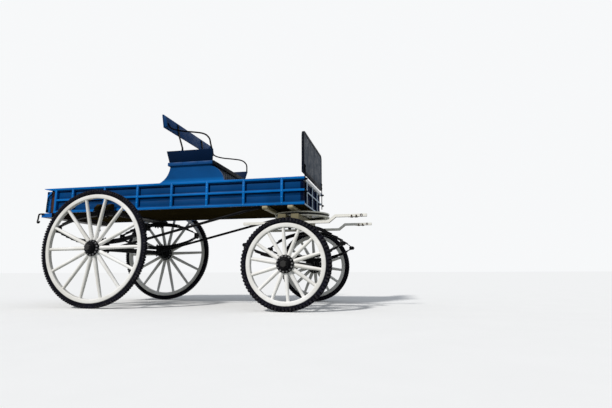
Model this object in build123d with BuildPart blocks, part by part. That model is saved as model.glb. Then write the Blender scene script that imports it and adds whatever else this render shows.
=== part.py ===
from build123d import *
from collections import namedtuple
from math import asin, degrees, sqrt
import os

# Horse-drawn farm wagon with a sprung box, a driver's seat and a dash.
# Millimetres. +X is forward, +Y is the wagon's left, +Z is up.
# The origin lies on the ground, under the middle of the wagon's length.

os.makedirs("parts", exist_ok=True)

RIGHT = -1
LEFT = 1
SIDES = {"right": RIGHT, "left": LEFT}

# Width of the box, which the widths of the running gear and the seat follow
box_half_width = 500

# Wheels
wheelbase = 2045
rear_axle_x = -925
front_axle_x = rear_axle_x + wheelbase
rear_wheel_radius = 608
front_wheel_radius = 432
wheel_stand_off = 217
wheel_centre_y = box_half_width + wheel_stand_off
tyre_depth = 50
rear_tyre_width = 46
front_tyre_width = 66
tread_bevel = 9
felloe_depth = 42
rear_felloe_width = 50
front_felloe_width = 60
felloe_bevel = 6
spoke_count = 14
spoke_root_width = 22
spoke_waist_radius = 92
spoke_waist_width = 37
spoke_waist_depth = 46
spoke_tip_width = 25
spoke_tip_depth = 34
spoke_bevel = 6
rear_spoke_phase = 1.0
front_spoke_phase = -8.7

# Hubs
hub_drum_radius = 62
hub_flange_radius = 90
hub_flange_thickness = 12
hub_inner_end = -95
hub_nose_end = 82
hub_cap_radius = 31
hub_cap_height = 20
hub_bolt_circle = 77
hub_bolt_radius = 8
hub_bolt_height = 8
axle_arm_radius = 24
running_clearance = 0.05
bore_end = 60
arm_end = 54

# Axles
axle_bar = 50
axle_collar_radius = 40
axle_collar_thickness = 12
collar_clearance = 1

# Box: the bed of the wagon
box_length = 2908
box_middle_x = -201
box_front_x = box_middle_x + box_length / 2
box_rear_x = box_middle_x - box_length / 2
box_bottom_z = 1022
box_top_z = 1306
floor_thickness = 28
floor_board_count = 6
floor_board_gap = 2
panel_thickness = 25
rail_proud = 22
top_rail_height = 36
mid_rail_height = 26
bottom_rail_height = 38
mid_rail_z = 1169
stake_width = 30
stake_pitch = 406
stakes_each_way = 3
rear_lip = 143
front_batten_ys = (-350, -70, 210)
front_batten_width = 20
front_rail_height = 18

# Tailgate and the step behind it
post_iron = 34
tailgate_clearance = 5
tailgate_panel = 28
tailgate_batten = 29
tailgate_batten_inner_y = 163
tailgate_bottom_z = box_bottom_z + 8
tailgate_top_z = 1270
step_depth = 134
step_height = 46
hinge_pin_radius = 5
hinge_barrel_radius = 9
hinge_barrel_length = 36
hinge_strap_height = 150
hinge_strap_thickness = 6
hinge_ys = (-324, 0, 324)
lip_tip_height = 6

# Cross members under the bed
sill_xs = (front_axle_x - 280, front_axle_x - 15)
sill_width = 60
sill_height = 37
sill_bevel = 12
rear_spring_middle_x = rear_axle_x - 38
rear_iron_rear_x = rear_spring_middle_x - 97
rear_iron_front_x = rear_spring_middle_x + 103
rear_iron_height = 14
pad_outer_y = box_half_width + 95
pad_offset = 68
pad_xs = (rear_spring_middle_x - pad_offset, rear_spring_middle_x + pad_offset)
pad_width = 42
pad_height = 72
pad_nose_height = 26
pad_shoulder_y = box_half_width + 45
seat_gap = 0.3

# Turntable
ring_outer = 300
ring_inner = 250
ring_thickness = 12
rubbing_outer = 288
rubbing_inner = 262
rubbing_height = 22
ring_bar_width = 70
king_boss_radius = 34
king_pin_radius = 15
king_nut_radius = 27
king_nut_height = 21

# Springs
leaf_thickness = 9
rear_spring_y = box_half_width + 60
rear_spring_width = 50
rear_spring_half = 545
rear_leaf_count = 5
rear_seat_height = 22
rear_pack_bottom = rear_wheel_radius + axle_bar / 2 + rear_seat_height
rear_pack_top = box_bottom_z - rear_iron_height
rear_eye_rise = 151
shackle_reach = 42
rear_low_eye_z = rear_pack_bottom + rear_eye_rise
rear_high_eye_z = rear_low_eye_z + shackle_reach
front_spring_y = 430
front_spring_width = 48
front_spring_half = 503
front_eye_z = 632
front_leaf_count = 4
front_pack_bottom = 477
leaf_step = 0.12
clip_length = 86
clip_width_extra = 3
eye_radius = 17
eye_pin_radius = 9
eye_nut_height = 9
shackle_plate = 8
shackle_pin_end = 8
spring_seat_length = 96
spring_seat_width = 58

# Shaft bars on the front gear
bar_y = 400
bar_width = 38
bar_rear_x = 587
bar_bottom_z = 838
bar_height = 26
bar_bend_x = 1480
bar_rise = 56
bar_run = 70
bar_tip_x = 1855
bar_tip_height = 26
shaft_pin_radius = 7
shaft_pin_x = 1802
jaw_bolt_xs = (1706, 1752)
jaw_bolt_radius = 6
jaw_bolt_end = 14
jaw_nut_height = 9

# Front gear cross beams
beam_offsets = (-115, 20)
beam_width = 84
beam_half_length = 445

# Braces between the rear axle and the bed
brace_y = box_half_width - 50
brace_radius = 14
brace_foot_x = 640
brace_foot_z = 985
brace_palm_x = 770

# Dash in front of the driver's feet
dash_bottom_z = 1345
dash_top_z = 1782
dash_half_width = box_half_width + 20
dash_thickness = 26
dash_corner = 55
dash_iron_width = 30
dash_iron_thickness = 10
dash_iron_bottom = 1105
dash_iron_top = 1430
dash_bolt_zs = (1150, 1280)
dash_bolt_radius = 12
dash_bolt_height = 18

# Seat
seat_board_z = 1487
seat_board_thickness = 36
seat_rear_x = -250
seat_nose_x = 272
seat_half_width = box_half_width + 12
riser_inset = 8
riser_thickness = 30
riser_rear_x = -350
riser_front_x = 390
seat_front_x = 262
seat_front_thickness = 18
seat_side_low_y = box_half_width - 8
seat_side_height = 120
seat_side_thickness = 20
seat_side_splay = 38
seat_side_low_length = 494
seat_side_top_length = 532
seat_side_low_x = 10
seat_side_top_x = 11
back_bottom_z = 1890
back_height = 150
back_thickness = 18
back_x = -272
back_lean = 9
back_half_width = box_half_width + 100
back_wing = 46
back_corner_round = 12
back_post_y = 300
back_post_width = 32
back_post_thickness = 9
arm_rod_radius = 6.5

# Hooks at the tail
rear_hook_x = -1855
tail_hook_thickness = 14


def side_plane(y):
    """Plane across the wagon at y, seen from the right: local x is forward, local y is up."""
    return Plane(origin=(0, y, 0), x_dir=(1, 0, 0), z_dir=(0, -1, 0))


def end_plane(x):
    """Plane square to the wagon's length at x: local x is left, local y is up."""
    return Plane(origin=(x, 0, 0), x_dir=(0, 1, 0), z_dir=(1, 0, 0))


def block(x0, x1, y0, y1, z0, z1, mode=Mode.ADD):
    """Rectangular stick between its faces, joined to the piece being built."""
    with Locations(((x0 + x1) / 2, (y0 + y1) / 2, (z0 + z1) / 2)):
        Box(abs(x1 - x0), abs(y1 - y0), abs(z1 - z0), mode=mode)


def save(part, name):
    part.label = name
    export_step(part, f"parts/{name}.step")


# Wheels, hubs and tyres

Pair = namedtuple("Pair", "name axle_x radius phase tyre_width felloe_width")
pairs = (
    Pair("rear", rear_axle_x, rear_wheel_radius, rear_spoke_phase, rear_tyre_width, rear_felloe_width),
    Pair("front", front_axle_x, front_wheel_radius, front_spoke_phase, front_tyre_width, front_felloe_width),
)
Wheel = namedtuple("Wheel", "name side axle_x radius phase tyre_width felloe_width")
wheels = [
    Wheel(f"{pair.name}_{side_name}", side, *pair[1:])
    for pair in pairs
    for side_name, side in SIDES.items()
]


def wheel_centre(wheel):
    return (wheel.axle_x, wheel.side * wheel_centre_y, wheel.radius)


def wheel_face(wheel):
    """Middle plane of a wheel, looking out along its axle."""
    return Plane(origin=wheel_centre(wheel), x_dir=(1, 0, 0), z_dir=(0, wheel.side, 0))


def wheel_section(wheel):
    """Plane through the axle: local x is the radius, local y points outboard."""
    return Plane(origin=wheel_centre(wheel), x_dir=(1, 0, 0), z_dir=(0, 0, wheel.side))


def wheel_axis(wheel):
    return Axis(wheel_centre(wheel), (0, wheel.side, 0))


def build_tyre(wheel):
    with BuildPart() as tyre:
        with BuildSketch(wheel_section(wheel)):
            with Locations((wheel.radius - tyre_depth / 2, 0)):
                Rectangle(tyre_depth, wheel.tyre_width)
            chamfer(vertices().group_by(Axis.X)[-1], tread_bevel)
        revolve(axis=wheel_axis(wheel))
    return tyre.part


def build_felloe(wheel):
    with BuildPart() as felloe:
        with BuildSketch(wheel_section(wheel)):
            with Locations((wheel.radius - tyre_depth - felloe_depth / 2, 0)):
                Rectangle(felloe_depth, wheel.felloe_width)
            chamfer(vertices().group_by(Axis.X)[0], felloe_bevel)
        revolve(axis=wheel_axis(wheel))
    return felloe.part


def build_spokes(wheel):
    rim_inner = wheel.radius - tyre_depth - felloe_depth
    stations = (
        (hub_drum_radius - 6, spoke_root_width, spoke_waist_depth),
        (spoke_waist_radius, spoke_waist_width, spoke_waist_depth),
        (rim_inner + 2, spoke_tip_width, spoke_tip_depth),
    )
    with BuildPart() as spoke:
        for distance, width, depth in stations:
            with BuildSketch(Plane(origin=(distance, 0, 0), x_dir=(0, 1, 0), z_dir=(1, 0, 0))):
                Rectangle(width, depth)
                chamfer(vertices(), spoke_bevel)
        loft(ruled=True)
    with BuildPart(wheel_face(wheel)) as spokes:
        with PolarLocations(0, spoke_count, start_angle=wheel.phase):
            add(spoke.part)
        Cylinder(rim_inner, 2 * spoke_waist_depth, mode=Mode.INTERSECT)
        Cylinder(hub_drum_radius, 2 * spoke_waist_depth, mode=Mode.SUBTRACT)
    return spokes.part


def build_hub(wheel):
    flange_face = spoke_waist_depth / 2
    flange_back = flange_face + hub_flange_thickness
    bore_radius = axle_arm_radius + running_clearance
    profile = (
        (bore_radius, hub_inner_end),
        (hub_drum_radius - 14, hub_inner_end),
        (hub_drum_radius, -flange_back - 6),
        (hub_flange_radius - 8, -flange_back),
        (hub_flange_radius, -flange_face - 4),
        (hub_flange_radius, -flange_face),
        (hub_drum_radius, -flange_face),
        (hub_drum_radius, flange_face),
        (hub_flange_radius, flange_face),
        (hub_flange_radius, flange_face + 4),
        (hub_flange_radius - 8, flange_back),
        (hub_drum_radius - 8, flange_back + 4),
        (hub_drum_radius - 18, hub_nose_end),
        (0, hub_nose_end),
        (0, bore_end),
        (bore_radius, bore_end),
    )
    with BuildPart() as hub:
        with BuildSketch(wheel_section(wheel)):
            with BuildLine():
                Polyline(*profile, close=True)
            make_face()
        revolve(axis=wheel_axis(wheel))
        with BuildSketch(wheel_face(wheel).offset(hub_nose_end)):
            RegularPolygon(hub_cap_radius, 6)
        extrude(amount=hub_cap_height)
        with BuildSketch(wheel_face(wheel).offset(flange_face + 4)):
            with PolarLocations(hub_bolt_circle, spoke_count, start_angle=wheel.phase + 180 / spoke_count):
                RegularPolygon(hub_bolt_radius, 6)
        extrude(amount=hub_flange_thickness - 4 + hub_bolt_height)
    return hub.part


for wheel in wheels:
    save(build_tyre(wheel), f"tyre_{wheel.name}")
    save(build_felloe(wheel), f"felloe_{wheel.name}")
    save(build_spokes(wheel), f"spokes_{wheel.name}")
    save(build_hub(wheel), f"hub_{wheel.name}")


# Axles


def build_axle(axle_x, radius):
    shoulder = wheel_centre_y + hub_inner_end - collar_clearance
    bar_half = shoulder - axle_collar_thickness
    with BuildPart() as axle:
        with Locations((axle_x, 0, radius)):
            Box(axle_bar, 2 * bar_half, axle_bar)
        chamfer(axle.edges().filter_by(Axis.Y), 5)
        for side in SIDES.values():
            with BuildSketch(Plane(origin=(axle_x, side * bar_half, radius), z_dir=(0, side, 0))):
                Circle(axle_collar_radius)
            extrude(amount=axle_collar_thickness)
            with BuildSketch(Plane(origin=(axle_x, side * bar_half, radius), z_dir=(0, side, 0))):
                Circle(axle_arm_radius)
            extrude(amount=wheel_centre_y + arm_end - bar_half)
    return axle.part


save(build_axle(rear_axle_x, rear_wheel_radius), "rear_axle")
save(build_axle(front_axle_x, front_wheel_radius), "front_axle")


# Leaf springs: concentric leaves, the longest on the hollow side


def leaf_radius(half_length, rise):
    return (half_length**2 + rise**2) / (2 * rise)


def leaf_pack(middle_x, crown_z, half_length, rise, count, curve):
    """Sketch of stacked leaves. curve is 1 where the ends stand above the crown, -1 below."""
    radius = leaf_radius(half_length, rise)
    centre_z = crown_z + curve * radius
    for leaf in range(count):
        inner = radius + leaf * leaf_thickness
        half_angle = degrees(asin(half_length * (1 - leaf_step * leaf) / radius))
        start = -90 * curve - half_angle
        with BuildLine() as leaf_outline:
            low = CenterArc((middle_x, centre_z), inner, start, 2 * half_angle)
            high = CenterArc((middle_x, centre_z), inner + leaf_thickness, start, 2 * half_angle)
            Line(low @ 0, high @ 0)
            Line(low @ 1, high @ 1)
        make_face(leaf_outline.edges())


def build_rear_spring(side):
    """Elliptic spring beside the box: two packs whose eyes are linked by shackles."""
    pack = rear_leaf_count * leaf_thickness
    low_crown = rear_pack_bottom + pack
    high_crown = rear_pack_top - pack
    eyes = [
        (rear_spring_middle_x + end * rear_spring_half, z)
        for end in (-1, 1)
        for z in (rear_low_eye_z, rear_high_eye_z)
    ]
    with BuildPart() as spring:
        with BuildSketch(side_plane(side * rear_spring_y)):
            for crown, rise, bend in (
                (low_crown, rear_low_eye_z - low_crown, 1),
                (high_crown, high_crown - rear_high_eye_z, -1),
            ):
                leaf_pack(rear_spring_middle_x, crown, rear_spring_half, rise, rear_leaf_count, bend)
            with Locations(*eyes):
                Circle(eye_radius)
                Circle(eye_pin_radius + running_clearance, mode=Mode.SUBTRACT)
        extrude(amount=rear_spring_width / 2, both=True)
        with Locations(
            (rear_axle_x, side * rear_spring_y, rear_pack_bottom + pack / 2),
            (rear_spring_middle_x, side * rear_spring_y, rear_pack_top - pack / 2),
        ):
            Box(clip_length, rear_spring_width + 2 * clip_width_extra, pack)
    return spring.part


def build_front_spring(side):
    pack = front_leaf_count * leaf_thickness
    low_crown = front_pack_bottom + pack
    high_crown = bar_bottom_z - pack
    eyes = [(front_axle_x + end * front_spring_half, front_eye_z) for end in (-1, 1)]
    with BuildPart() as spring:
        with BuildSketch(side_plane(side * front_spring_y)):
            leaf_pack(
                front_axle_x,
                low_crown,
                front_spring_half,
                front_eye_z - low_crown,
                front_leaf_count,
                1,
            )
            leaf_pack(
                front_axle_x,
                high_crown,
                front_spring_half,
                high_crown - front_eye_z,
                front_leaf_count,
                -1,
            )
            with Locations(*eyes):
                Circle(eye_radius)
        extrude(amount=front_spring_width / 2, both=True)
        with BuildSketch(side_plane(side * front_spring_y)):
            with Locations(*eyes):
                RegularPolygon(eye_radius - 3, 6)
        extrude(amount=front_spring_width / 2 + eye_nut_height, both=True)
        with Locations(
            (front_axle_x, side * front_spring_y, front_pack_bottom + pack / 2),
            (front_axle_x, side * front_spring_y, bar_bottom_z - pack / 2),
        ):
            Box(clip_length, front_spring_width + 2 * clip_width_extra, pack)
    return spring.part


with BuildPart() as rear_springs:
    for side in SIDES.values():
        add(build_rear_spring(side))
save(rear_springs.part, "rear_springs")

with BuildPart() as front_springs:
    for side in SIDES.values():
        add(build_front_spring(side))
save(front_springs.part, "front_springs")

with BuildPart() as rear_shackles:
    for side in SIDES.values():
        for end in (-1, 1):
            eye_x = rear_spring_middle_x + end * rear_spring_half
            with BuildSketch(side_plane(side * rear_spring_y)):
                with Locations((eye_x, (rear_low_eye_z + rear_high_eye_z) / 2)):
                    SlotCenterToCenter(shackle_reach, 2 * eye_radius, rotation=90)
            extrude(amount=rear_spring_width / 2 + seat_gap + shackle_plate, both=True)
            block(
                eye_x - 2 * eye_radius,
                eye_x + 2 * eye_radius,
                side * rear_spring_y - rear_spring_width / 2 - seat_gap,
                side * rear_spring_y + rear_spring_width / 2 + seat_gap,
                rear_low_eye_z - 2 * eye_radius,
                rear_high_eye_z + 2 * eye_radius,
                mode=Mode.SUBTRACT,
            )
            with BuildSketch(side_plane(side * rear_spring_y)):
                with Locations((eye_x, rear_low_eye_z), (eye_x, rear_high_eye_z)):
                    Circle(eye_pin_radius)
            extrude(amount=rear_spring_width / 2 + shackle_plate + shackle_pin_end, both=True)
save(rear_shackles.part, "rear_shackles")

with BuildPart() as rear_spring_seats:
    for side in SIDES.values():
        block(
            rear_axle_x - spring_seat_length / 2,
            rear_axle_x + spring_seat_length / 2,
            side * rear_spring_y - spring_seat_width / 2,
            side * rear_spring_y + spring_seat_width / 2,
            rear_wheel_radius + axle_bar / 2,
            rear_pack_bottom,
        )
save(rear_spring_seats.part, "rear_spring_seats")

with BuildPart() as front_spring_seats:
    for side in SIDES.values():
        block(
            front_axle_x - spring_seat_length / 2,
            front_axle_x + spring_seat_length / 2,
            side * front_spring_y - spring_seat_width / 2,
            side * front_spring_y + spring_seat_width / 2,
            front_wheel_radius + axle_bar / 2,
            front_pack_bottom,
        )
save(front_spring_seats.part, "front_spring_seats")


# Rear cross iron under the bed, and the pads outside the box that the rear springs carry

with BuildPart() as rear_cross_iron:
    block(
        rear_iron_rear_x,
        rear_iron_front_x,
        -pad_outer_y,
        pad_outer_y,
        rear_pack_top,
        box_bottom_z,
    )
save(rear_cross_iron.part, "rear_cross_iron")

with BuildPart() as spring_pads:
    for side in SIDES.values():
        for pad_x in pad_xs:
            with BuildSketch(end_plane(pad_x - pad_width / 2)):
                with BuildLine():
                    Polyline(
                        (side * (box_half_width + seat_gap), box_bottom_z),
                        (side * pad_outer_y, box_bottom_z),
                        (side * pad_outer_y, box_bottom_z + pad_nose_height),
                        (side * pad_shoulder_y, box_bottom_z + pad_height),
                        (side * (box_half_width + seat_gap), box_bottom_z + pad_height),
                        close=True,
                    )
                make_face()
            extrude(amount=pad_width)
save(spring_pads.part, "spring_pads")


# Cross sills and turntable

with BuildPart() as cross_sills:
    for sill_x in sill_xs:
        block(
            sill_x - sill_width / 2,
            sill_x + sill_width / 2,
            -box_half_width + 4,
            box_half_width - 4,
            box_bottom_z - sill_height,
            box_bottom_z,
        )
    chamfer(cross_sills.edges().filter_by(Axis.X).group_by(Axis.Z)[0], sill_bevel)
save(cross_sills.part, "cross_sills")

ring_top_z = box_bottom_z - sill_height
upper_ring_bottom = ring_top_z - ring_thickness
rubbing_top = upper_ring_bottom - seat_gap
lower_ring_top = rubbing_top - rubbing_height
lower_ring_bottom = lower_ring_top - ring_thickness
bar_top_z = bar_bottom_z + bar_height


def turntable_sketch():
    """Ring with a bar across it, as the plates above and below the rubbing ring share."""
    with Locations((front_axle_x, 0)):
        Circle(ring_outer)
        Circle(ring_inner, mode=Mode.SUBTRACT)
        Rectangle(ring_bar_width, 2 * ring_inner + 10)


with BuildPart() as upper_turntable:
    with BuildSketch(Plane.XY.offset(upper_ring_bottom)):
        turntable_sketch()
    extrude(amount=ring_thickness)
    with BuildSketch(Plane.XY.offset(upper_ring_bottom)):
        with Locations((front_axle_x, 0)):
            Circle(king_pin_radius)
    extrude(amount=-(upper_ring_bottom - bar_top_z + king_nut_height))
    with BuildSketch(Plane.XY.offset(bar_top_z - seat_gap)):
        with Locations((front_axle_x, 0)):
            RegularPolygon(king_nut_radius, 6)
    extrude(amount=-king_nut_height)
save(upper_turntable.part, "upper_turntable")

with BuildPart() as lower_turntable:
    with BuildSketch(Plane.XY.offset(lower_ring_bottom)):
        turntable_sketch()
    extrude(amount=ring_thickness)
    with BuildSketch(Plane.XY.offset(lower_ring_top)):
        with Locations((front_axle_x, 0)):
            Circle(rubbing_outer)
            Circle(rubbing_inner, mode=Mode.SUBTRACT)
            Circle(king_boss_radius)
    extrude(amount=rubbing_height)
    with Locations((front_axle_x, 0, lower_ring_top)):
        Cylinder(king_pin_radius + running_clearance, 4 * rubbing_height, mode=Mode.SUBTRACT)
save(lower_turntable.part, "lower_turntable")


# Front gear: cross beams and the two shaft bars

tip_bottom_z = bar_bottom_z + bar_rise
tip_top_z = tip_bottom_z + bar_tip_height
tip_middle_z = (tip_bottom_z + tip_top_z) / 2

with BuildPart() as front_beams:
    for beam_offset in beam_offsets:
        beam_x = front_axle_x + beam_offset
        block(
            beam_x - beam_width / 2,
            beam_x + beam_width / 2,
            -beam_half_length,
            beam_half_length,
            bar_top_z,
            lower_ring_bottom,
        )
    with Locations((front_axle_x, 0, (bar_top_z + lower_ring_bottom) / 2)):
        Cylinder(king_pin_radius + running_clearance, 2 * beam_width, mode=Mode.SUBTRACT)
save(front_beams.part, "front_beams")

with BuildPart() as shaft_bars:
    for side in SIDES.values():
        with BuildSketch(side_plane(side * bar_y)):
            with BuildLine():
                Polyline(
                    (bar_rear_x, bar_bottom_z),
                    (bar_bend_x, bar_bottom_z),
                    (bar_bend_x + bar_run, tip_bottom_z),
                    (bar_tip_x, tip_bottom_z),
                    (bar_tip_x, tip_top_z),
                    (bar_bend_x + bar_run - 8, tip_top_z),
                    (bar_bend_x - 10, bar_top_z),
                    (bar_rear_x, bar_top_z),
                    close=True,
                )
            make_face()
            with Locations((shaft_pin_x, tip_middle_z)):
                Circle(shaft_pin_radius, mode=Mode.SUBTRACT)
            with Locations(*[(x, tip_middle_z) for x in jaw_bolt_xs]):
                Circle(jaw_bolt_radius, mode=Mode.SUBTRACT)
        extrude(amount=bar_width / 2, both=True)
save(shaft_bars.part, "shaft_bars")

with BuildPart() as jaw_bolts:
    for side in SIDES.values():
        with BuildSketch(side_plane(side * bar_y)):
            with Locations(*[(x, tip_middle_z) for x in jaw_bolt_xs]):
                Circle(jaw_bolt_radius)
        extrude(amount=bar_width / 2 + jaw_bolt_end, both=True)
        for face in (-1, 1):
            head_plane = Plane(
                origin=(0, side * bar_y + face * bar_width / 2, 0), x_dir=(1, 0, 0), z_dir=(0, -1, 0)
            )
            with BuildSketch(head_plane):
                with Locations(*[(x, tip_middle_z) for x in jaw_bolt_xs]):
                    RegularPolygon(2 * jaw_bolt_radius, 6)
            extrude(amount=-face * jaw_nut_height)
save(jaw_bolts.part, "jaw_bolts")


# Braces from the rear axle to the bed

with BuildPart() as axle_braces:
    for side in SIDES.values():
        with BuildLine():
            Polyline(
                (rear_axle_x, side * brace_y, rear_wheel_radius),
                (brace_foot_x, side * brace_y, brace_foot_z),
                (brace_palm_x, side * brace_y, box_bottom_z - brace_radius),
            )
        with BuildSketch(
            Plane(
                origin=(rear_axle_x, side * brace_y, rear_wheel_radius),
                z_dir=(brace_foot_x - rear_axle_x, 0, brace_foot_z - rear_wheel_radius),
            )
        ):
            Circle(brace_radius)
        sweep(transition=Transition.RIGHT)
        block(
            rear_axle_x - axle_bar,
            rear_axle_x + axle_bar / 2,
            side * brace_y - axle_bar,
            side * brace_y + axle_bar,
            rear_wheel_radius - axle_bar / 2,
            rear_wheel_radius + axle_bar / 2,
            mode=Mode.SUBTRACT,
        )
save(axle_braces.part, "axle_braces")


# Box: floor, sides, front panel, tailgate

floor_top_z = box_bottom_z + floor_thickness
panel_outer_y = box_half_width - rail_proud
panel_inner_y = panel_outer_y - panel_thickness
panel_front_x = box_front_x - rail_proud

with BuildPart() as floor:
    board_pitch = (2 * panel_outer_y + floor_board_gap) / floor_board_count
    for board in range(floor_board_count):
        board_y = -panel_outer_y + board * board_pitch
        block(
            box_rear_x,
            panel_front_x,
            board_y,
            board_y + board_pitch - floor_board_gap,
            box_bottom_z,
            floor_top_z,
        )
save(floor.part, "floor")


with BuildPart() as side_panels:
    for side in SIDES.values():
        block(
            box_rear_x,
            panel_front_x - panel_thickness,
            side * panel_inner_y,
            side * panel_outer_y,
            floor_top_z,
            box_top_z - top_rail_height,
        )
save(side_panels.part, "side_panels")


def build_side_frame(side):
    """Rails and stakes that stand proud of the side boards, and the capping rail."""
    with BuildPart() as frame:
        block(
            box_rear_x,
            box_front_x,
            side * panel_outer_y,
            side * box_half_width,
            box_bottom_z,
            box_bottom_z + bottom_rail_height,
        )
        block(
            box_rear_x,
            box_front_x,
            side * panel_outer_y,
            side * box_half_width,
            mid_rail_z - mid_rail_height / 2,
            mid_rail_z + mid_rail_height / 2,
        )
        with BuildSketch(side_plane(side * (panel_inner_y + box_half_width) / 2)):
            with BuildLine():
                Polyline(
                    (box_rear_x, box_top_z - top_rail_height),
                    (box_front_x, box_top_z - top_rail_height),
                    (box_front_x, box_top_z),
                    (box_rear_x - rear_lip, box_top_z),
                    (box_rear_x - rear_lip, box_top_z - lip_tip_height),
                    close=True,
                )
            make_face()
        extrude(amount=(box_half_width - panel_inner_y) / 2, both=True)
        stake_xs = [box_middle_x + i * stake_pitch for i in range(-stakes_each_way, stakes_each_way + 1)]
        stake_xs.append(box_rear_x + stake_width / 2)
        for stake_x in stake_xs:
            block(
                stake_x - stake_width / 2,
                stake_x + stake_width / 2,
                side * panel_outer_y,
                side * box_half_width,
                box_bottom_z,
                box_top_z,
            )
    return frame.part


with BuildPart() as side_frames:
    for side in SIDES.values():
        add(build_side_frame(side))
save(side_frames.part, "side_frames")

with BuildPart() as front_panel:
    block(
        panel_front_x - panel_thickness,
        panel_front_x,
        -panel_outer_y,
        panel_outer_y,
        floor_top_z,
        box_top_z - top_rail_height,
    )
save(front_panel.part, "front_panel")

with BuildPart() as front_frame:
    for low_z in (box_bottom_z, mid_rail_z - front_rail_height / 2):
        block(panel_front_x, box_front_x, -panel_outer_y, panel_outer_y, low_z, low_z + front_rail_height)
    block(
        panel_front_x - panel_thickness,
        box_front_x,
        -panel_inner_y,
        panel_inner_y,
        box_top_z - top_rail_height,
        box_top_z,
    )
    for batten_y in front_batten_ys:
        block(
            panel_front_x,
            box_front_x,
            batten_y - front_batten_width / 2,
            batten_y + front_batten_width / 2,
            box_bottom_z,
            box_top_z,
        )
save(front_frame.part, "front_frame")

post_rear_x = box_rear_x - post_iron
with BuildPart() as rear_posts:
    for side in SIDES.values():
        block(
            post_rear_x,
            box_rear_x,
            side * (panel_inner_y - 10),
            side * (box_half_width - 6),
            box_bottom_z,
            box_top_z - top_rail_height,
        )
save(rear_posts.part, "rear_posts")

with BuildPart() as rear_step:
    block(
        post_rear_x - step_depth + 20,
        post_rear_x + 20,
        -box_half_width,
        box_half_width,
        box_bottom_z - step_height,
        box_bottom_z,
    )
save(rear_step.part, "rear_step")

gate_inner_x = post_rear_x - tailgate_clearance
gate_outer_x = gate_inner_x - tailgate_panel - tailgate_batten
hinge_x = gate_outer_x - hinge_barrel_radius
hinge_z = box_bottom_z + hinge_barrel_radius

with BuildPart() as tailgate:
    block(
        gate_inner_x - tailgate_panel,
        gate_inner_x,
        -box_half_width,
        box_half_width,
        tailgate_bottom_z,
        tailgate_top_z,
    )
save(tailgate.part, "tailgate")

with BuildPart() as tailgate_frame:
    for low_z, high_z in (
        (tailgate_bottom_z, tailgate_bottom_z + bottom_rail_height),
        (mid_rail_z - mid_rail_height / 2, mid_rail_z + mid_rail_height / 2),
        (tailgate_top_z - top_rail_height, tailgate_top_z),
    ):
        block(
            gate_outer_x,
            gate_inner_x - tailgate_panel,
            -box_half_width,
            box_half_width,
            low_z,
            high_z,
        )
    tailgate_batten_outer_y = box_half_width - stake_width / 2
    for batten_y in (
        -tailgate_batten_outer_y,
        -tailgate_batten_inner_y,
        tailgate_batten_inner_y,
        tailgate_batten_outer_y,
    ):
        block(
            gate_outer_x,
            gate_inner_x - tailgate_panel,
            batten_y - stake_width / 2,
            batten_y + stake_width / 2,
            tailgate_bottom_z,
            tailgate_top_z,
        )
save(tailgate_frame.part, "tailgate_frame")


def hinge_barrel(y, length):
    with Locations((hinge_x, y, hinge_z)):
        Cylinder(hinge_barrel_radius, length, rotation=(90, 0, 0))


with BuildPart() as tailgate_straps:
    for hinge_y in hinge_ys:
        hinge_barrel(hinge_y, hinge_barrel_length)
        block(
            gate_outer_x - hinge_strap_thickness,
            gate_outer_x,
            hinge_y - hinge_barrel_length / 2,
            hinge_y + hinge_barrel_length / 2,
            hinge_z,
            hinge_z + hinge_strap_height,
        )
    with Locations(*[(hinge_x, hinge_y, hinge_z) for hinge_y in hinge_ys]):
        Cylinder(
            hinge_pin_radius + running_clearance,
            2 * hinge_barrel_length,
            rotation=(90, 0, 0),
            mode=Mode.SUBTRACT,
        )
save(tailgate_straps.part, "tailgate_straps")

with BuildPart() as tailgate_knuckles:
    for hinge_y in hinge_ys:
        for end in (-1, 1):
            hinge_barrel(hinge_y + end * (hinge_barrel_length + 1), hinge_barrel_length)
        with Locations((hinge_x, hinge_y, hinge_z)):
            Cylinder(hinge_pin_radius, 2.5 * hinge_barrel_length, rotation=(90, 0, 0))
save(tailgate_knuckles.part, "tailgate_knuckles")

with BuildPart() as tail_hooks:
    for side in SIDES.values():
        with BuildSketch(side_plane(side * (box_half_width + tail_hook_thickness / 2))):
            with BuildLine():
                Polyline(
                    (rear_hook_x + 90, box_bottom_z - 2),
                    (rear_hook_x + 12, box_bottom_z - 2),
                    (rear_hook_x, box_bottom_z - 14),
                    (rear_hook_x, box_bottom_z - 94),
                    (rear_hook_x + 20, box_bottom_z - 110),
                    (rear_hook_x + 48, box_bottom_z - 102),
                    (rear_hook_x + 48, box_bottom_z - 76),
                    (rear_hook_x + 28, box_bottom_z - 84),
                    (rear_hook_x + 28, box_bottom_z - 12),
                    (rear_hook_x + 90, box_bottom_z - 12),
                    close=True,
                )
            make_face()
        extrude(amount=tail_hook_thickness / 2, both=True)
save(tail_hooks.part, "tail_hooks")


# Dash and its irons

dash_rear_x = box_front_x - dash_thickness
with BuildPart() as dash:
    with BuildSketch(end_plane(dash_rear_x)):
        with Locations((0, (dash_bottom_z + dash_top_z) / 2)):
            Rectangle(2 * dash_half_width, dash_top_z - dash_bottom_z)
        fillet(vertices().group_by(Axis.Y)[-1], dash_corner)
    extrude(amount=dash_thickness)
save(dash.part, "dash")

dash_iron_y = box_half_width - dash_iron_width / 2
with BuildPart() as dash_irons:
    for side in SIDES.values():
        block(
            box_front_x,
            box_front_x + dash_iron_thickness,
            side * dash_iron_y - dash_iron_width / 2,
            side * dash_iron_y + dash_iron_width / 2,
            dash_iron_bottom,
            dash_iron_top,
        )
    with BuildSketch(end_plane(box_front_x + dash_iron_thickness)):
        with Locations(*[(side * dash_iron_y, z) for side in SIDES.values() for z in dash_bolt_zs]):
            RegularPolygon(dash_bolt_radius, 6)
    extrude(amount=dash_bolt_height)
save(dash_irons.part, "dash_irons")


# Seat

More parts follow.
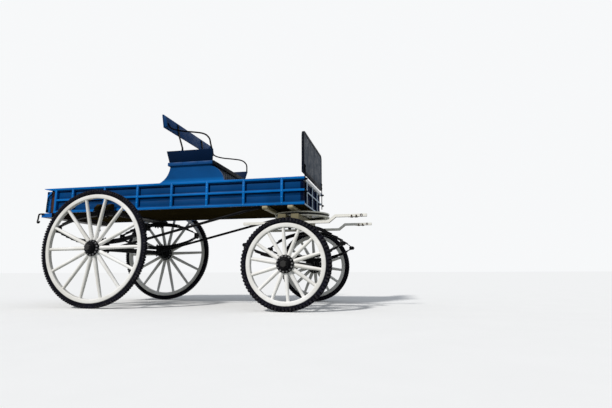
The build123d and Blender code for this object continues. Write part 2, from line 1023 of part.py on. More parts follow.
riser_top_front_x = 236
riser_top_rear_x = -230
riser_shoulder_z = 1472
riser_front_bulge = (352, 1400)
riser_rear_hollow = (-258, 1390)
riser_outer_y = box_half_width - riser_inset
riser_inner_y = riser_outer_y - riser_thickness
with BuildPart() as seat_risers:
    for side in SIDES.values():
        with BuildSketch(side_plane(side * (riser_outer_y - riser_thickness / 2))):
            with BuildLine():
                Line((riser_rear_x, box_top_z), (riser_front_x, box_top_z))
                ThreePointArc(
                    (riser_front_x, box_top_z),
                    riser_front_bulge,
                    (riser_top_front_x, riser_shoulder_z),
                )
                Line((riser_top_front_x, riser_shoulder_z), (riser_top_front_x, seat_board_z))
                Line((riser_top_front_x, seat_board_z), (riser_top_rear_x, seat_board_z))
                ThreePointArc((riser_top_rear_x, seat_board_z), riser_rear_hollow, (riser_rear_x, box_top_z))
            make_face()
        extrude(amount=riser_thickness / 2, both=True)
save(seat_risers.part, "seat_risers")

with BuildPart() as seat_board:
    block(
        seat_rear_x,
        seat_nose_x,
        -seat_half_width,
        seat_half_width,
        seat_board_z,
        seat_board_z + seat_board_thickness,
    )
save(seat_board.part, "seat_board")

with BuildPart() as seat_front:
    block(
        seat_front_x - seat_front_thickness,
        seat_front_x,
        -riser_inner_y,
        riser_inner_y,
        box_top_z,
        seat_board_z,
    )
    block(
        seat_front_x - seat_front_thickness,
        seat_front_x,
        -panel_inner_y,
        panel_inner_y,
        floor_top_z,
        box_top_z,
    )
save(seat_front.part, "seat_front")

seat_top_z = seat_board_z + seat_board_thickness


def build_seat_side(side):
    with BuildPart() as panel:
        with BuildSketch(Plane.XY.offset(seat_top_z)):
            with Locations((seat_side_low_x, side * seat_side_low_y)):
                Rectangle(seat_side_low_length, seat_side_thickness)
        with BuildSketch(Plane.XY.offset(seat_top_z + seat_side_height)):
            with Locations((seat_side_top_x, side * (seat_side_low_y + seat_side_splay))):
                Rectangle(seat_side_top_length, seat_side_thickness)
        loft(ruled=True)
    return panel.part


with BuildPart() as seat_sides:
    for side in SIDES.values():
        add(build_seat_side(side))
save(seat_sides.part, "seat_sides")

back_foot_plane = Plane(origin=(back_x, 0, back_bottom_z), x_dir=(1, 0, 0), z_dir=(0, 0, 1))
back_plane = back_foot_plane.rotated((0, -back_lean, 0))
with BuildPart() as backboard:
    with BuildSketch(back_plane):
        with BuildLine():
            Polyline(
                (0, -back_half_width),
                (back_wing, -back_half_width),
                (back_wing, -back_half_width + back_thickness),
                (back_thickness, -back_half_width + back_thickness),
                (back_thickness, back_half_width - back_thickness),
                (back_wing, back_half_width - back_thickness),
                (back_wing, back_half_width),
                (0, back_half_width),
                close=True,
            )
        make_face()
        fillet(vertices().group_by(Axis.X)[0], back_corner_round)
    extrude(amount=back_height)
save(backboard.part, "backboard")


def post_line(shift):
    """Front or rear outline of a back post, from the seat board up to the back board."""
    front = back_plane.from_local_coords((back_thickness + shift, 0, 0))
    top = back_plane.from_local_coords((back_thickness + shift, 0, back_height - 20))
    return [(-200 + shift, seat_top_z), (-206 + shift, 1745), (front.X, front.Z), (top.X, top.Z)]


with BuildPart() as back_posts:
    for side in SIDES.values():
        with BuildSketch(side_plane(side * back_post_y)):
            with BuildLine():
                Polyline(*post_line(0), *reversed(post_line(back_post_thickness)), close=True)
            make_face()
        extrude(amount=back_post_width / 2, both=True)
save(back_posts.part, "back_posts")

arm_rail_y = box_half_width + 62
arm_rail_foot_y = box_half_width + 34
arm_bend_radius = 26
arm_rail_points = (
    (-259, 1970),
    (-205, 1892),
    (-95, 1854),
    (60, 1824),
    (200, 1786),
    (262, 1680),
)
arm_rail_foot = (264, seat_top_z + seat_side_height + 4)


def build_arm_rail(side):
    """Bent rod from inside the back board's wing forward and down to the top of the seat side."""
    with BuildPart() as rail:
        with BuildLine(side_plane(side * arm_rail_y)) as route:
            FilletPolyline(*arm_rail_points, radius=arm_bend_radius)
        with BuildLine() as drop:
            Line(
                (arm_rail_points[-1][0], side * arm_rail_y, arm_rail_points[-1][1]),
                (arm_rail_foot[0], side * arm_rail_foot_y, arm_rail_foot[1]),
            )
        with BuildSketch(Plane(origin=route.line @ 0, z_dir=route.line % 0)):
            Circle(arm_rod_radius)
        sweep(path=route.line)
        with BuildSketch(Plane(origin=drop.line @ 0, z_dir=drop.line % 0)):
            Circle(arm_rod_radius)
        sweep(path=drop.line)
        with Locations(drop.line @ 0):
            Sphere(arm_rod_radius)
    return rail.part


with BuildPart() as arm_rails:
    for side in SIDES.values():
        add(build_arm_rail(side))
save(arm_rails.part, "arm_rails")
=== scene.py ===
import bpy
import bmesh
from math import asin, cos, pi, radians, sin, sqrt
from mathutils import Matrix, Vector


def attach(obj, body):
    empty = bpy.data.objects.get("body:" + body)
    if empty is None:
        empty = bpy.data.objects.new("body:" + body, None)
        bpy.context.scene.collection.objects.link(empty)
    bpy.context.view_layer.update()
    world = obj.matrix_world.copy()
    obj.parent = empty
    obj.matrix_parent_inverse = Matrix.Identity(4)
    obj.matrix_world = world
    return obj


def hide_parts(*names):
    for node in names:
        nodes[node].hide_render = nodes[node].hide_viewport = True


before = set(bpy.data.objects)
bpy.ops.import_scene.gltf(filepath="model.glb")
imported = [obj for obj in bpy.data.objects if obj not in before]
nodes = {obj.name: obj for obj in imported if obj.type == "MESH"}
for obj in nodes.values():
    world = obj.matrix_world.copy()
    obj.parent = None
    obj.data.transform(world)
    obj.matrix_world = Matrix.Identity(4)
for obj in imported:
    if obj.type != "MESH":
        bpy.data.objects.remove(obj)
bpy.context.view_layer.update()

# Wheels as the frame names them

WHEELS = ("rear_right", "rear_left", "front_right", "front_left")


# Camera at the photograph's place, low down and looking up at the wagon's right side

CAMERA_PLACE = Vector((2.1237, -4.5241, 0.3635))
CAMERA_YAW = 0.2095
CAMERA_PITCH = 0.1585
CAMERA_ROLL = -0.0028
LENS = 24.82
SENSOR = 36


def place_camera():
    ahead = Vector((
        -sin(CAMERA_YAW) * cos(CAMERA_PITCH),
        cos(CAMERA_YAW) * cos(CAMERA_PITCH),
        sin(CAMERA_PITCH),
    ))
    level_right = Vector((cos(CAMERA_YAW), sin(CAMERA_YAW), 0))
    level_up = level_right.cross(ahead)
    right = level_right * cos(CAMERA_ROLL) + level_up * sin(CAMERA_ROLL)
    up = level_up * cos(CAMERA_ROLL) - level_right * sin(CAMERA_ROLL)
    data = bpy.data.cameras.new("camera")
    data.lens = LENS
    data.sensor_width = SENSOR
    data.clip_end = 200
    camera = bpy.data.objects.new("camera", data)
    camera.matrix_world = Matrix((right, up, -ahead)).transposed().to_4x4()
    camera.matrix_world.translation = CAMERA_PLACE
    bpy.context.scene.collection.objects.link(camera)
    bpy.context.scene.camera = camera


# Node helpers for the finishes


class Finish:
    """A material under construction: every node it makes is linked as it is called."""

    def __init__(self, name, roughness, sheen):
        self.material = bpy.data.materials.new(name)
        self.material.use_nodes = True
        self.tree = self.material.node_tree
        self.shader = self.tree.nodes["Principled BSDF"]
        self.shader.inputs["Roughness"].default_value = roughness
        self.shader.inputs["Specular IOR Level"].default_value = sheen
        self.place = self.tree.nodes.new("ShaderNodeTexCoord").outputs["Object"]

    def node(self, kind, inputs=(), **settings):
        made = self.tree.nodes.new(kind)
        for key, value in settings.items():
            setattr(made, key, value)
        for key, value in dict(inputs).items():
            if isinstance(value, bpy.types.NodeSocket):
                self.tree.links.new(value, made.inputs[key])
            else:
                made.inputs[key].default_value = value
        return made

    def stretched(self, scale):
        """Object coordinates, scaled differently along each axis."""
        return self.node("ShaderNodeMapping", {"Vector": self.place, "Scale": scale}).outputs[0]

    def grain(self, axis):
        """Streaks that run along one axis of a board."""
        along = [9.0, 9.0, 9.0]
        along[axis] = 0.5
        return self.noise(26.0, 5.0, tuple(along), 0.62, 0.35)

    def noise(self, scale, detail, stretch=None, rough=0.55, distort=0.0):
        where = self.stretched(stretch) if stretch else self.place
        return self.node(
            "ShaderNodeTexNoise",
            {"Vector": where, "Scale": scale, "Detail": detail, "Roughness": rough, "Distortion": distort},
        ).outputs[0]

    def ramp(self, value, low, high, start=0.0, end=1.0):
        return self.node(
            "ShaderNodeMapRange",
            {"Value": value, "From Min": low, "From Max": high, "To Min": start, "To Max": end},
        ).outputs[0]

    def mix(self, share, first, second):
        made = self.tree.nodes.new("ShaderNodeMix")
        made.data_type = "RGBA"
        for socket, value in ((made.inputs[0], share), (made.inputs[6], first), (made.inputs[7], second)):
            if isinstance(value, bpy.types.NodeSocket):
                self.tree.links.new(value, socket)
            elif isinstance(value, (tuple, list)):
                socket.default_value = (*value[:3], 1)
            else:
                socket.default_value = value
        return made.outputs[2]

    def tones(self, pattern, low, high, colour, first, second):
        """Two tones of one colour, mixed by a pattern."""
        return self.mix(self.ramp(pattern, low, high), tint(colour, first), tint(colour, second))

    def part(self, vector, axis):
        return self.node("ShaderNodeSeparateXYZ", {"Vector": vector}).outputs[axis]

    def colour(self, value):
        self.tree.links.new(value, self.shader.inputs["Base Color"])

    def rough(self, value):
        self.tree.links.new(value, self.shader.inputs["Roughness"])

    def bump(self, height, strength, distance):
        made = self.node("ShaderNodeBump", {"Height": height, "Strength": strength, "Distance": distance})
        previous = self.shader.inputs["Normal"]
        if previous.is_linked:
            self.tree.links.new(previous.links[0].from_socket, made.inputs["Normal"])
        self.tree.links.new(made.outputs[0], previous)


def tint(colour, factor):
    return tuple(min(1.0, channel * factor) for channel in colour)


def painted_timber(
    name, colour, grain_axis, roughness=0.38, dust=(0.30, 0.27, 0.22), dust_share=0.035, sheen=0.10
):
    """Brushed gloss paint on boards: grain and brush marks along one axis, faint patches and dust."""
    finish = Finish(name, roughness, sheen)
    grain = finish.grain(grain_axis)
    tone = finish.tones(finish.noise(2.6, 3.0), 0.35, 0.68, colour, 0.82, 1.18)
    tone = finish.mix(finish.ramp(grain, 0.44, 0.72, 0.0, 0.35), tone, tint(colour, 0.62))
    dirty = finish.ramp(finish.noise(5.5, 6.0, None, 0.68), 0.56, 0.78, 0.0, dust_share)
    finish.colour(finish.mix(dirty, tone, dust))
    finish.rough(finish.ramp(finish.noise(11.0, 5.0), 0.3, 0.75, roughness * 0.78, roughness * 1.4))
    finish.bump(grain, 0.28, 0.0012)
    finish.bump(finish.noise(160.0, 2.0), 0.08, 0.0003)
    return finish.material


def black_iron(name, colour, roughness, sheen):
    """Forged iron under black paint: soft hammered relief, dull patches and a trace of rust."""
    finish = Finish(name, roughness, sheen)
    tone = finish.tones(finish.noise(7.0, 4.0), 0.35, 0.7, colour, 0.75, 1.7)
    rust = finish.ramp(finish.noise(23.0, 8.0, None, 0.7), 0.64, 0.78, 0.0, 0.5)
    finish.colour(finish.mix(rust, tone, (0.040, 0.020, 0.011)))
    finish.rough(finish.ramp(finish.noise(18.0, 5.0), 0.3, 0.7, roughness * 0.8, roughness * 1.5))
    finish.bump(finish.noise(55.0, 3.0, None, 0.5), 0.22, 0.0012)
    return finish.material


def worn_rubber(name, colour, dust_share):
    """Rubber greyed by the road: dust lies on it in specks and broad patches."""
    finish = Finish(name, 0.8, 0.05)
    specks = finish.noise(70.0, 6.0, None, 0.72)
    tone = finish.tones(finish.noise(6.0, 4.0), 0.35, 0.7, colour, 0.7, 1.6)
    dusty = finish.ramp(specks, 0.5, 0.68, 0.0, dust_share)
    finish.colour(finish.mix(dusty, tone, (0.16, 0.15, 0.13)))
    finish.bump(specks, 0.3, 0.0008)
    return finish.material


def shaded_below(name, colour, below):
    """Painted timber with painted shade: faces turned down and faces turned forward take a dark brown colour."""
    finish = Finish(name, 0.42, 0.1)
    grain = finish.grain(1)
    tone = finish.tones(grain, 0.4, 0.72, colour, 1.12, 0.7)
    # Painted shade: the colour below replaces the paint on faces turned down and on faces turned forward.
    facing = finish.node("ShaderNodeNewGeometry").outputs["Normal"]
    seen_above = finish.ramp(finish.part(facing, "Z"), -0.75, -0.35)
    seen_behind = finish.ramp(finish.part(facing, "X"), 0.75, 0.35)
    unshaded_share = finish.node("ShaderNodeMath", {0: seen_above, 1: seen_behind}, operation="MULTIPLY").outputs[0]
    finish.colour(finish.mix(unshaded_share, below, tone))
    finish.bump(grain, 0.28, 0.0012)
    return finish.material


def bright_foot(name, colour, foot, low, high):
    """Brushed paint with a painted reflection of the lit rail below, brighter along its foot."""
    finish = Finish(name, 0.42, 0.05)
    grain = finish.grain(0)
    tone = finish.tones(finish.noise(2.6, 3.0), 0.35, 0.68, colour, 0.82, 1.18)
    # Painted reflection: towards the bottom the paint blends into the brighter foot colour.
    lit = finish.ramp(finish.part(finish.place, "Z"), low, high, 0.85, 0.0)
    tone = finish.mix(lit, tone, foot)
    finish.colour(finish.mix(finish.ramp(grain, 0.44, 0.72, 0.0, 0.3), tone, tint(colour, 0.7)))
    finish.bump(grain, 0.28, 0.0012)
    return finish.material


def dark_above(name, colour, height):
    """Painted ring whose upper part, above a given height, is near-black."""
    finish = Finish(name, 0.42, 0.12)
    tone = finish.tones(finish.noise(14.0, 5.0), 0.35, 0.68, colour, 0.8, 1.1)
    above = finish.ramp(finish.part(finish.place, "Z"), height, height + 0.001)
    finish.colour(finish.mix(above, tone, (0.010, 0.009, 0.008)))
    finish.bump(finish.noise(70.0, 3.0), 0.15, 0.0008)
    return finish.material


RING_PAINT = (0.860, 0.840, 0.750)
WHEEL_PAINT = (0.920, 0.905, 0.865)
WHEEL_DUST = (0.50, 0.38, 0.22)
CREAM_DUST = (0.20, 0.16, 0.10)
RING_SPLIT = 0.9505

MATERIALS = {made.name: made for made in (
    painted_timber("rails_blue", (0.001, 0.142, 0.480), 0, dust_share=0.01, sheen=0.06),
    # Bolt heads paler than the rails: a painted highlight.
    painted_timber("highlit_bolt_blue", (0.060, 0.320, 0.740), 0, 0.32),
    # Riser paint with a painted reflection along its foot.
    bright_foot("riser_blue", (0.0005, 0.062, 0.220), (0.001, 0.150, 0.480), 1.312, 1.352),
    painted_timber("seat_rail", (0.002, 0.060, 0.215), 1),
    painted_timber("panels_blue", (0.0005, 0.050, 0.180), 0, 0.45, dust_share=0.008, sheen=0.05),
    painted_timber("seat_navy", (0.0004, 0.010, 0.040), 0, 0.45, dust_share=0.008, sheen=0.05),
    painted_timber("back_blue", (0.002, 0.046, 0.165), 1, 0.45, dust_share=0.01, sheen=0.06),
    painted_timber("gate_blue", (0.002, 0.110, 0.400), 1, 0.42),
    # Step paint with painted shade on its underside and front.
    shaded_below("step_blue", (0.004, 0.110, 0.420), (0.020, 0.014, 0.010)),
    painted_timber("battens_grey", (0.560, 0.690, 0.860), 1, 0.42),
    painted_timber("front_navy", (0.0004, 0.006, 0.030), 1, 0.6, (0.002, 0.008, 0.030), 0.05, 0.02),
    painted_timber("cap_white", (0.780, 0.800, 0.840), 1, 0.38),
    painted_timber("cream", (0.760, 0.740, 0.640), 1, 0.40, CREAM_DUST, 0.30),
    # Sill beige darker than the cream: partly the sills' own colour, partly painted shade.
    painted_timber("sill_beige", (0.440, 0.390, 0.250), 1, 0.45, (0.16, 0.12, 0.07), 0.50),
    # Beam beige darker than the sills: painted shade.
    painted_timber("beam_shade_beige", (0.200, 0.175, 0.105), 1, 0.5, (0.10, 0.08, 0.05), 0.50),
    # Bar paint with painted shade on its underside and forward faces.
    shaded_below("bar_cream", (0.860, 0.850, 0.800), (0.050, 0.036, 0.014)),
    painted_timber("rim_cream", WHEEL_PAINT, 0, 0.36, WHEEL_DUST, 0.22),
    painted_timber("spoke_cream", WHEEL_PAINT, 2, 0.36, WHEEL_DUST, 0.22),
    painted_timber("ring_cream", RING_PAINT, 0, 0.40, CREAM_DUST, 0.40),
    # Ring paint, near-black on its upper part.
    dark_above("lower_ring", RING_PAINT, RING_SPLIT),
    painted_timber("dash_black", (0.003, 0.005, 0.010), 2, 0.50, (0.05, 0.06, 0.08), 0.06, 0.05),
    painted_timber("dash_grey", (0.015, 0.028, 0.050), 2, 0.46, (0.16, 0.18, 0.22)),
    painted_timber("underside", (0.036, 0.026, 0.010), 0, 0.65, (0.08, 0.07, 0.04), 0.08, 0.0),
    black_iron("iron", (0.004, 0.004, 0.005), 0.46, 0.06),
    black_iron("matt_iron", (0.004, 0.004, 0.005), 0.7, 0.0),
    black_iron("cap_iron", (0.011, 0.010, 0.009), 0.36, 0.35),
    black_iron("post_rust", (0.042, 0.016, 0.008), 0.6, 0.1),
    # Grey hub nuts on the black hub: a painted highlight.
    black_iron("nut_highlight_grey", (0.150, 0.150, 0.155), 0.32, 0.5),
    black_iron("pin_brown", (0.060, 0.036, 0.018), 0.5, 0.2),
    worn_rubber("rubber", (0.004, 0.004, 0.008), 0.05),
    # Lug rubber lighter and bluish with heavy dust: partly road dust, partly a painted highlight on the lug faces.
    worn_rubber("lug_rubber", (0.008, 0.008, 0.014), 0.40),
)}

CAD_FINISHES = {
    "rails_blue": ("side_frames", "seat_board", "tailgate_frame"),
    "riser_blue": ("seat_risers",),
    "step_blue": ("rear_step",),
    "panels_blue": ("side_panels", "tailgate"),
    "seat_navy": ("seat_sides",),
    "back_blue": ("backboard",),
    "battens_grey": ("front_frame",),
    "front_navy": ("front_panel",),
    "sill_beige": ("cross_sills",),
    "beam_shade_beige": ("front_beams",),
    "bar_cream": ("shaft_bars",),
    "ring_cream": ("upper_turntable",),
    "lower_ring": ("lower_turntable",),
    "dash_black": ("dash", "seat_front"),
    "underside": ("floor", "spring_pads"),
    "iron": (
        "tail_hooks", "tailgate_knuckles", "tailgate_straps", "rear_cross_iron", "rear_axle",
        "front_axle", "rear_springs", "front_springs", "rear_shackles", "rear_spring_seats",
        "front_spring_seats", "axle_braces", "dash_irons", "back_posts", "arm_rails",
    ),
    "pin_brown": ("jaw_bolts",),
    "post_rust": ("rear_posts",),
}


def paint(piece, material):
    piece.data.materials.clear()
    piece.data.materials.append(MATERIALS[material])


for material, names in CAD_FINISHES.items():
    for name in names:
        paint(nodes[name], material)
for wheel in WHEELS:
    paint(nodes["tyre_" + wheel], "rubber")
    paint(nodes["felloe_" + wheel], "cream")
    paint(nodes["spokes_" + wheel], "cream")
    paint(nodes["hub_" + wheel], "iron")


# Modelling steps shared by the pieces


def put_away():
    """Leaves edit mode and lets go of everything."""
    if bpy.context.object is not None and bpy.context.object.mode == "EDIT":
        bpy.ops.object.mode_set(mode="OBJECT")
    bpy.ops.object.select_all(action="DESELECT")


def take(piece):
    put_away()
    piece.select_set(True)
    bpy.context.view_layer.objects.active = piece


def named(name):
    """Gives its name to the piece that was just made."""
    piece = bpy.context.object
    piece.name = name
    piece.data.name = name
    return piece


def select_whole():
    bpy.ops.mesh.select_all(action="SELECT")


def edit_whole():
    bpy.ops.object.mode_set(mode="EDIT")
    select_whole()


def face_outwards():
    select_whole()
    bpy.ops.mesh.normals_make_consistent(inside=False)


def pull(way):
    bpy.ops.mesh.extrude_region_move(TRANSFORM_OT_translate={"value": Vector(way)})


def stretch(value, middle):
    bpy.ops.transform.resize(value=value, center_override=middle)


def bar(name, low, high, soft=0.002, segments=2):
    """A stick or plate between two corners, its edges broken."""
    put_away()
    low = Vector(low)
    high = Vector(high)
    middle = (low + high) / 2
    bpy.ops.mesh.primitive_cube_add(size=1, location=middle)
    piece = named(name)
    edit_whole()
    stretch(high - low, middle)
    bpy.ops.mesh.bevel(offset=soft, segments=segments, affect="EDGES")
    put_away()
    return piece


def turned(name, foot, direction, rings, sides=24):
    """A round or many-sided piece: each ring is (reach along the direction, radius), pulled from the last."""
    put_away()
    foot = Vector(foot)
    along = Vector(direction).normalized()
    turn = along.to_track_quat("Z", "Y").to_euler()
    reach, radius = rings[0]
    bpy.ops.mesh.primitive_circle_add(
        vertices=sides, radius=radius, fill_type="NGON", location=foot + along * reach, rotation=turn
    )
    piece = named(name)
    edit_whole()
    for next_reach, next_radius in rings[1:]:
        pull(along * (next_reach - reach))
        ratio = next_radius / radius
        stretch((ratio, ratio, ratio), foot + along * next_reach)
        reach, radius = next_reach, next_radius
    face_outwards()
    put_away()
    return piece


def stem(name, foot, direction, start, end, tip, radius, tip_radius, sides=10):
    """A straight stem from start to end, its tip broken to a smaller radius."""
    return turned(name, foot, direction, ((start, radius), (end, radius), (tip, tip_radius)), sides)


def nut(name, foot, direction, radius, height, top_radius, sunk=0.001):
    """Six-sided nut, its foot sunk a little into what carries it."""
    return stem(name, foot, direction, -sunk, height, height + 0.0015, radius, top_radius, 6)


def outline_started(name, corners):
    """A flat face with these corners, taken into edit mode."""
    put_away()
    bpy.ops.mesh.primitive_circle_add(vertices=len(corners), radius=1, fill_type="NGON")
    piece = named(name)
    for vertex, corner in zip(piece.data.vertices, corners):
        vertex.co = Vector(corner)
    edit_whole()
    return piece


def plate(name, corners, way, soft=0.0015, segments=1):
    """A flat outline, given by its corners, pulled into a plate and its edges broken."""
    piece = outline_started(name, corners)
    pull(way)
    face_outwards()
    bpy.ops.mesh.bevel(offset=soft, segments=segments, affect="EDGES")
    put_away()
    return piece


def mirror_selected():
    stretch((1, -1, 1), (0, 0, 0))
    bpy.ops.mesh.flip_normals()


def both_sides(piece):
    """Adds the other side of the wagon, mirrored across its middle."""
    take(piece)
    bpy.ops.object.transform_apply()
    edit_whole()
    bpy.ops.mesh.duplicate()
    mirror_selected()
    put_away()
    return piece


def other_wheel(piece, name):
    """The left wheel's piece faces the other way, so it is a mirrored copy with its own mesh."""
    take(piece)
    bpy.ops.object.duplicate()
    twin = named(name)
    bpy.ops.object.transform_apply()
    edit_whole()
    mirror_selected()
    put_away()
    return twin


def around(piece, centre, count, phase=0.0):
    """Copies the piece round an axle, evenly spaced."""
    take(piece)
    bpy.ops.object.transform_apply()
    edit_whole()
    if phase:
        bpy.ops.transform.rotate(value=phase, orient_axis="Y", center_override=centre)
    bpy.ops.mesh.spin(
        steps=count - 1, dupli=True, angle=2 * pi * (count - 1) / count, center=centre, axis=(0, 1, 0)
    )
    put_away()
    return piece


def welded(name, parts):
    """Several modelled parts made one piece."""
    take(parts[0])
    for part in parts[1:]:
        part.select_set(True)
    bpy.ops.object.join()
    return named(name)


def boards(name, spans, soft=0.003, segments=2):
    """Sticks or plates made one piece, each given by its two corners."""
    return welded(name, [bar(name, low, high, soft, segments) for low, high in spans])


def finished(piece, body, material, stands_for=(), smooth=32):
    """Settles the piece at the origin, paints it and tells the frame what it rides on and replaces."""
    take(piece)
    bpy.ops.object.transform_apply()
    bpy.ops.object.shade_smooth_by_angle(angle=radians(smooth))
    paint(piece, material)
    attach(piece, body)
    if stands_for:
        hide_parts(*stands_for)
    put_away()
    return piece


def rod(name, points, radius, body, material, stands_for=()):
    """Bent round iron on both sides: a smooth line through its points, given thickness and made a mesh."""
    put_away()
    bpy.ops.curve.primitive_nurbs_path_add()
    piece = named(name)
    line = piece.data.splines[0]
    line.points.add(len(points) - len(line.points))
    for knot, place in zip(line.points, points):
        knot.co = (*place, 1)
    line.order_u = 3
    line.use_endpoint_u = True
    line.resolution_u = 8
    piece.data.bevel_depth = radius
    piece.data.bevel_resolution = 4
    piece.data.use_fill_caps = True
    bpy.ops.object.convert(target="MESH")
    return finished(both_sides(bpy.context.object), body, material, stands_for, 60)


# Wheels: a spun tyre and rim, tapered spokes, and a turned hub with its ring of nuts

REAR_AXLE = -0.925
FRONT_AXLE = 1.120
REAR_WHEEL = {
    "x": REAR_AXLE, "radius": 0.608, "tyre": 0.046, "rim": 0.043, "phase": 1.0,
    "lugs": 132, "lug_half": 0.0100, "lug_depth": 0.006,
}
FRONT_WHEEL = {
    "x": FRONT_AXLE, "radius": 0.432, "tyre": 0.066, "rim": 0.050, "phase": -8.7,
    "lugs": 76, "lug_half": 0.0105, "lug_depth": 0.017,
}
WHEEL_Y = 0.717
TYRE_DEPTH = 0.050
RIM_DEPTH = 0.042
SPOKES = 14
RING_STEPS = 112
OUTWARD = Vector((0, -1, 0))


def wheel_centre(size):
    return Vector((size["x"], -WHEEL_Y, size["radius"]))


def spoke_phase(size):
    return radians(size["phase"]) - pi / 2


def ring_band(name, centre, inner, outer, width, soft):
    """A ring spun from a softened strip."""
    put_away()
    middle = centre + Vector((0, 0, (inner + outer) / 2))
    bpy.ops.mesh.primitive_plane_add(size=1, location=middle, rotation=(0, pi / 2, 0))
    piece = named(name)
    edit_whole()
    stretch((1, width, outer - inner), middle)
    bpy.ops.mesh.bevel(offset=soft, segments=3, affect="VERTICES")
    select_whole()
    bpy.ops.mesh.delete(type="ONLY_FACE")
    select_whole()
    bpy.ops.mesh.spin(steps=RING_STEPS, angle=2 * pi, center=centre, axis=(0, 1, 0))
    select_whole()
    bpy.ops.mesh.remove_doubles(threshold=0.00005)
    face_outwards()
    put_away()
    return piece


def rubber_tyre(size, name):
    """Lower body of the tyre, which carries the lugs."""
    outer = size["radius"]
    return ring_band(
        name, wheel_centre(size), outer - TYRE_DEPTH, outer - size["lug_depth"], size["tyre"] - 0.005, 0.011
    )


def wheel_rim(size, name):
    outer = size["radius"] - TYRE_DEPTH
    return ring_band(name, wheel_centre(size), outer - RIM_DEPTH, outer, size["rim"], 0.007)


def tyre_lugs(size, name):
    """Rows of rubber blocks round the tyre: crown, shoulders and side walls."""
    centre = wheel_centre(size)
    crown = centre.z + size["radius"]
    half = size["tyre"] / 2
    depth = size["lug_depth"]
    rows = (
        ("crown_lugs", (1,), (-0.3 * half, 0.3 * half), (-depth - 0.003, 0.0), 1.0, 0.0),
        ("shoulder_lugs", (1, -1), (0.4 * half, half - 0.0005), (-depth - 0.006, -0.001), 1.0, 0.5),
        ("side_lugs", (1, -1), (half - 0.009, half), (-depth - 0.019, -depth + 0.003), 0.8, 0.5),
    )
    parts = []
    for label, sides, across, (low, high), share, stagger in rows:
        length = size["lug_half"] * share
        for side in sides:
            near, far = sorted(side * y for y in across)
            lug = bar(
                label,
                (centre.x - length, centre.y + near, crown + low),
                (centre.x + length, centre.y + far, crown + high),
                0.002, 1,
            )
            parts.append(around(lug, centre, size["lugs"], 2 * pi / size["lugs"] * stagger))
    return welded(name, parts)


def tapered_spokes(size, name):
    """Each ring along a spoke is (distance from the axle, width, depth)."""
    centre = wheel_centre(size)
    rim_inner = size["radius"] - TYRE_DEPTH - RIM_DEPTH
    rings = (
        (0.060, 0.026, 0.046), (0.074, 0.033, 0.046), (0.092, 0.0405, 0.046), (0.125, 0.0405, 0.044),
        (rim_inner - 0.060, 0.0325, 0.034), (rim_inner - 0.016, 0.0305, 0.032), (rim_inner + 0.001, 0.0320, 0.035),
    )
    put_away()
    reach, wide, deep = rings[0]
    place = centre + Vector((0, 0, reach))
    bpy.ops.mesh.primitive_circle_add(vertices=12, radius=0.5, fill_type="NGON", location=place)
    piece = named(name)
    edit_whole()
    stretch((wide, deep, 1), place)
    for next_reach, next_wide, next_deep in rings[1:]:
        pull((0, 0, next_reach - reach))
        stretch((next_wide / wide, next_deep / deep, 1), centre + Vector((0, 0, next_reach)))
        reach, wide, deep = next_reach, next_wide, next_deep
    face_outwards()
    put_away()
    return around(piece, centre, SPOKES, spoke_phase(size))


def turned_hub(size, name):
    """Barrel with its two flanges."""
    rings = (
        (-0.095, 0.046), (-0.0945, 0.048), (-0.072, 0.050), (-0.070, 0.056), (-0.042, 0.060), (-0.038, 0.079),
        (-0.034, 0.084), (-0.028, 0.089), (-0.024, 0.0895), (-0.0235, 0.0885), (-0.0232, 0.062),
        (0.0232, 0.062), (0.0235, 0.0835), (0.024, 0.0845), (0.028, 0.084), (0.034, 0.080), (0.038, 0.074),
        (0.040, 0.054), (0.045, 0.050), (0.050, 0.048), (0.052, 0.051), (0.064, 0.050), (0.066, 0.045),
        (0.079, 0.042), (0.082, 0.040), (0.083, 0.034),
    )
    return turned(name, wheel_centre(size), OUTWARD, rings, 48)


def hub_cap(size, name):
    """Six-sided cap over the axle nut, with the axle's end in it."""
    centre = wheel_centre(size)
    rings = ((0.080, 0.034), (0.086, 0.034), (0.0862, 0.0300), (0.0985, 0.0300), (0.1018, 0.025))
    cap = turned(name, centre, OUTWARD, rings, 6)
    end = turned(name + "_end", centre, OUTWARD, ((0.100, 0.016), (0.1019, 0.0158), (0.102, 0.013)), 20)
    return welded(name, [cap, end])


def hub_nuts(size, name):
    """Ring of nuts and studs through the two flanges."""
    centre = wheel_centre(size)
    place = centre + Vector((0, 0, 0.0715))
    parts = (
        stem(name, place, OUTWARD, 0.030, 0.0425, 0.0445, 0.0092, 0.0078, 6),
        stem(name + "_stud", place, OUTWARD, 0.042, 0.0482, 0.049, 0.0048, 0.0036),
        stem(name + "_head", place, -OUTWARD, 0.030, 0.038, 0.041, 0.0095, 0.0065, 12),
    )
    phase = spoke_phase(size) + pi / SPOKES
    return welded(name, [around(part, centre, SPOKES, phase) for part in parts])


WHEEL_PIECES = (
    ("tyre_rubber", rubber_tyre, "tyre", "rubber", "tyre"),
    ("wheel_rim", wheel_rim, "felloe", "rim_cream", "cream_paint"),
    ("wheel_spokes", tapered_spokes, "spokes", "spoke_cream", "cream_paint"),
    ("wheel_hub", turned_hub, "hub", "iron", "black_iron"),
    ("hub_nuts", hub_nuts, None, "nut_highlight_grey", "black_iron"),
    ("hub_cap", hub_cap, None, "cap_iron", "black_iron"),
    ("tyre_lugs", tyre_lugs, None, "lug_rubber", "tyre"),
)

for axle, size in (("rear", REAR_WHEEL), ("front", FRONT_WHEEL)):
    for label, shape, node, material, slot in WHEEL_PIECES:
        right = shape(size, f"{label}_{axle}_right")
        left = other_wheel(right, f"{label}_{axle}_left")
        for piece, side in ((right, "right"), (left, "left")):
            stands_for = (f"{node}_{axle}_{side}",) if node else ()
            finished(piece, f"wheel_{axle}_{side}", material, stands_for)


# Box: rails, stakes and their bolts

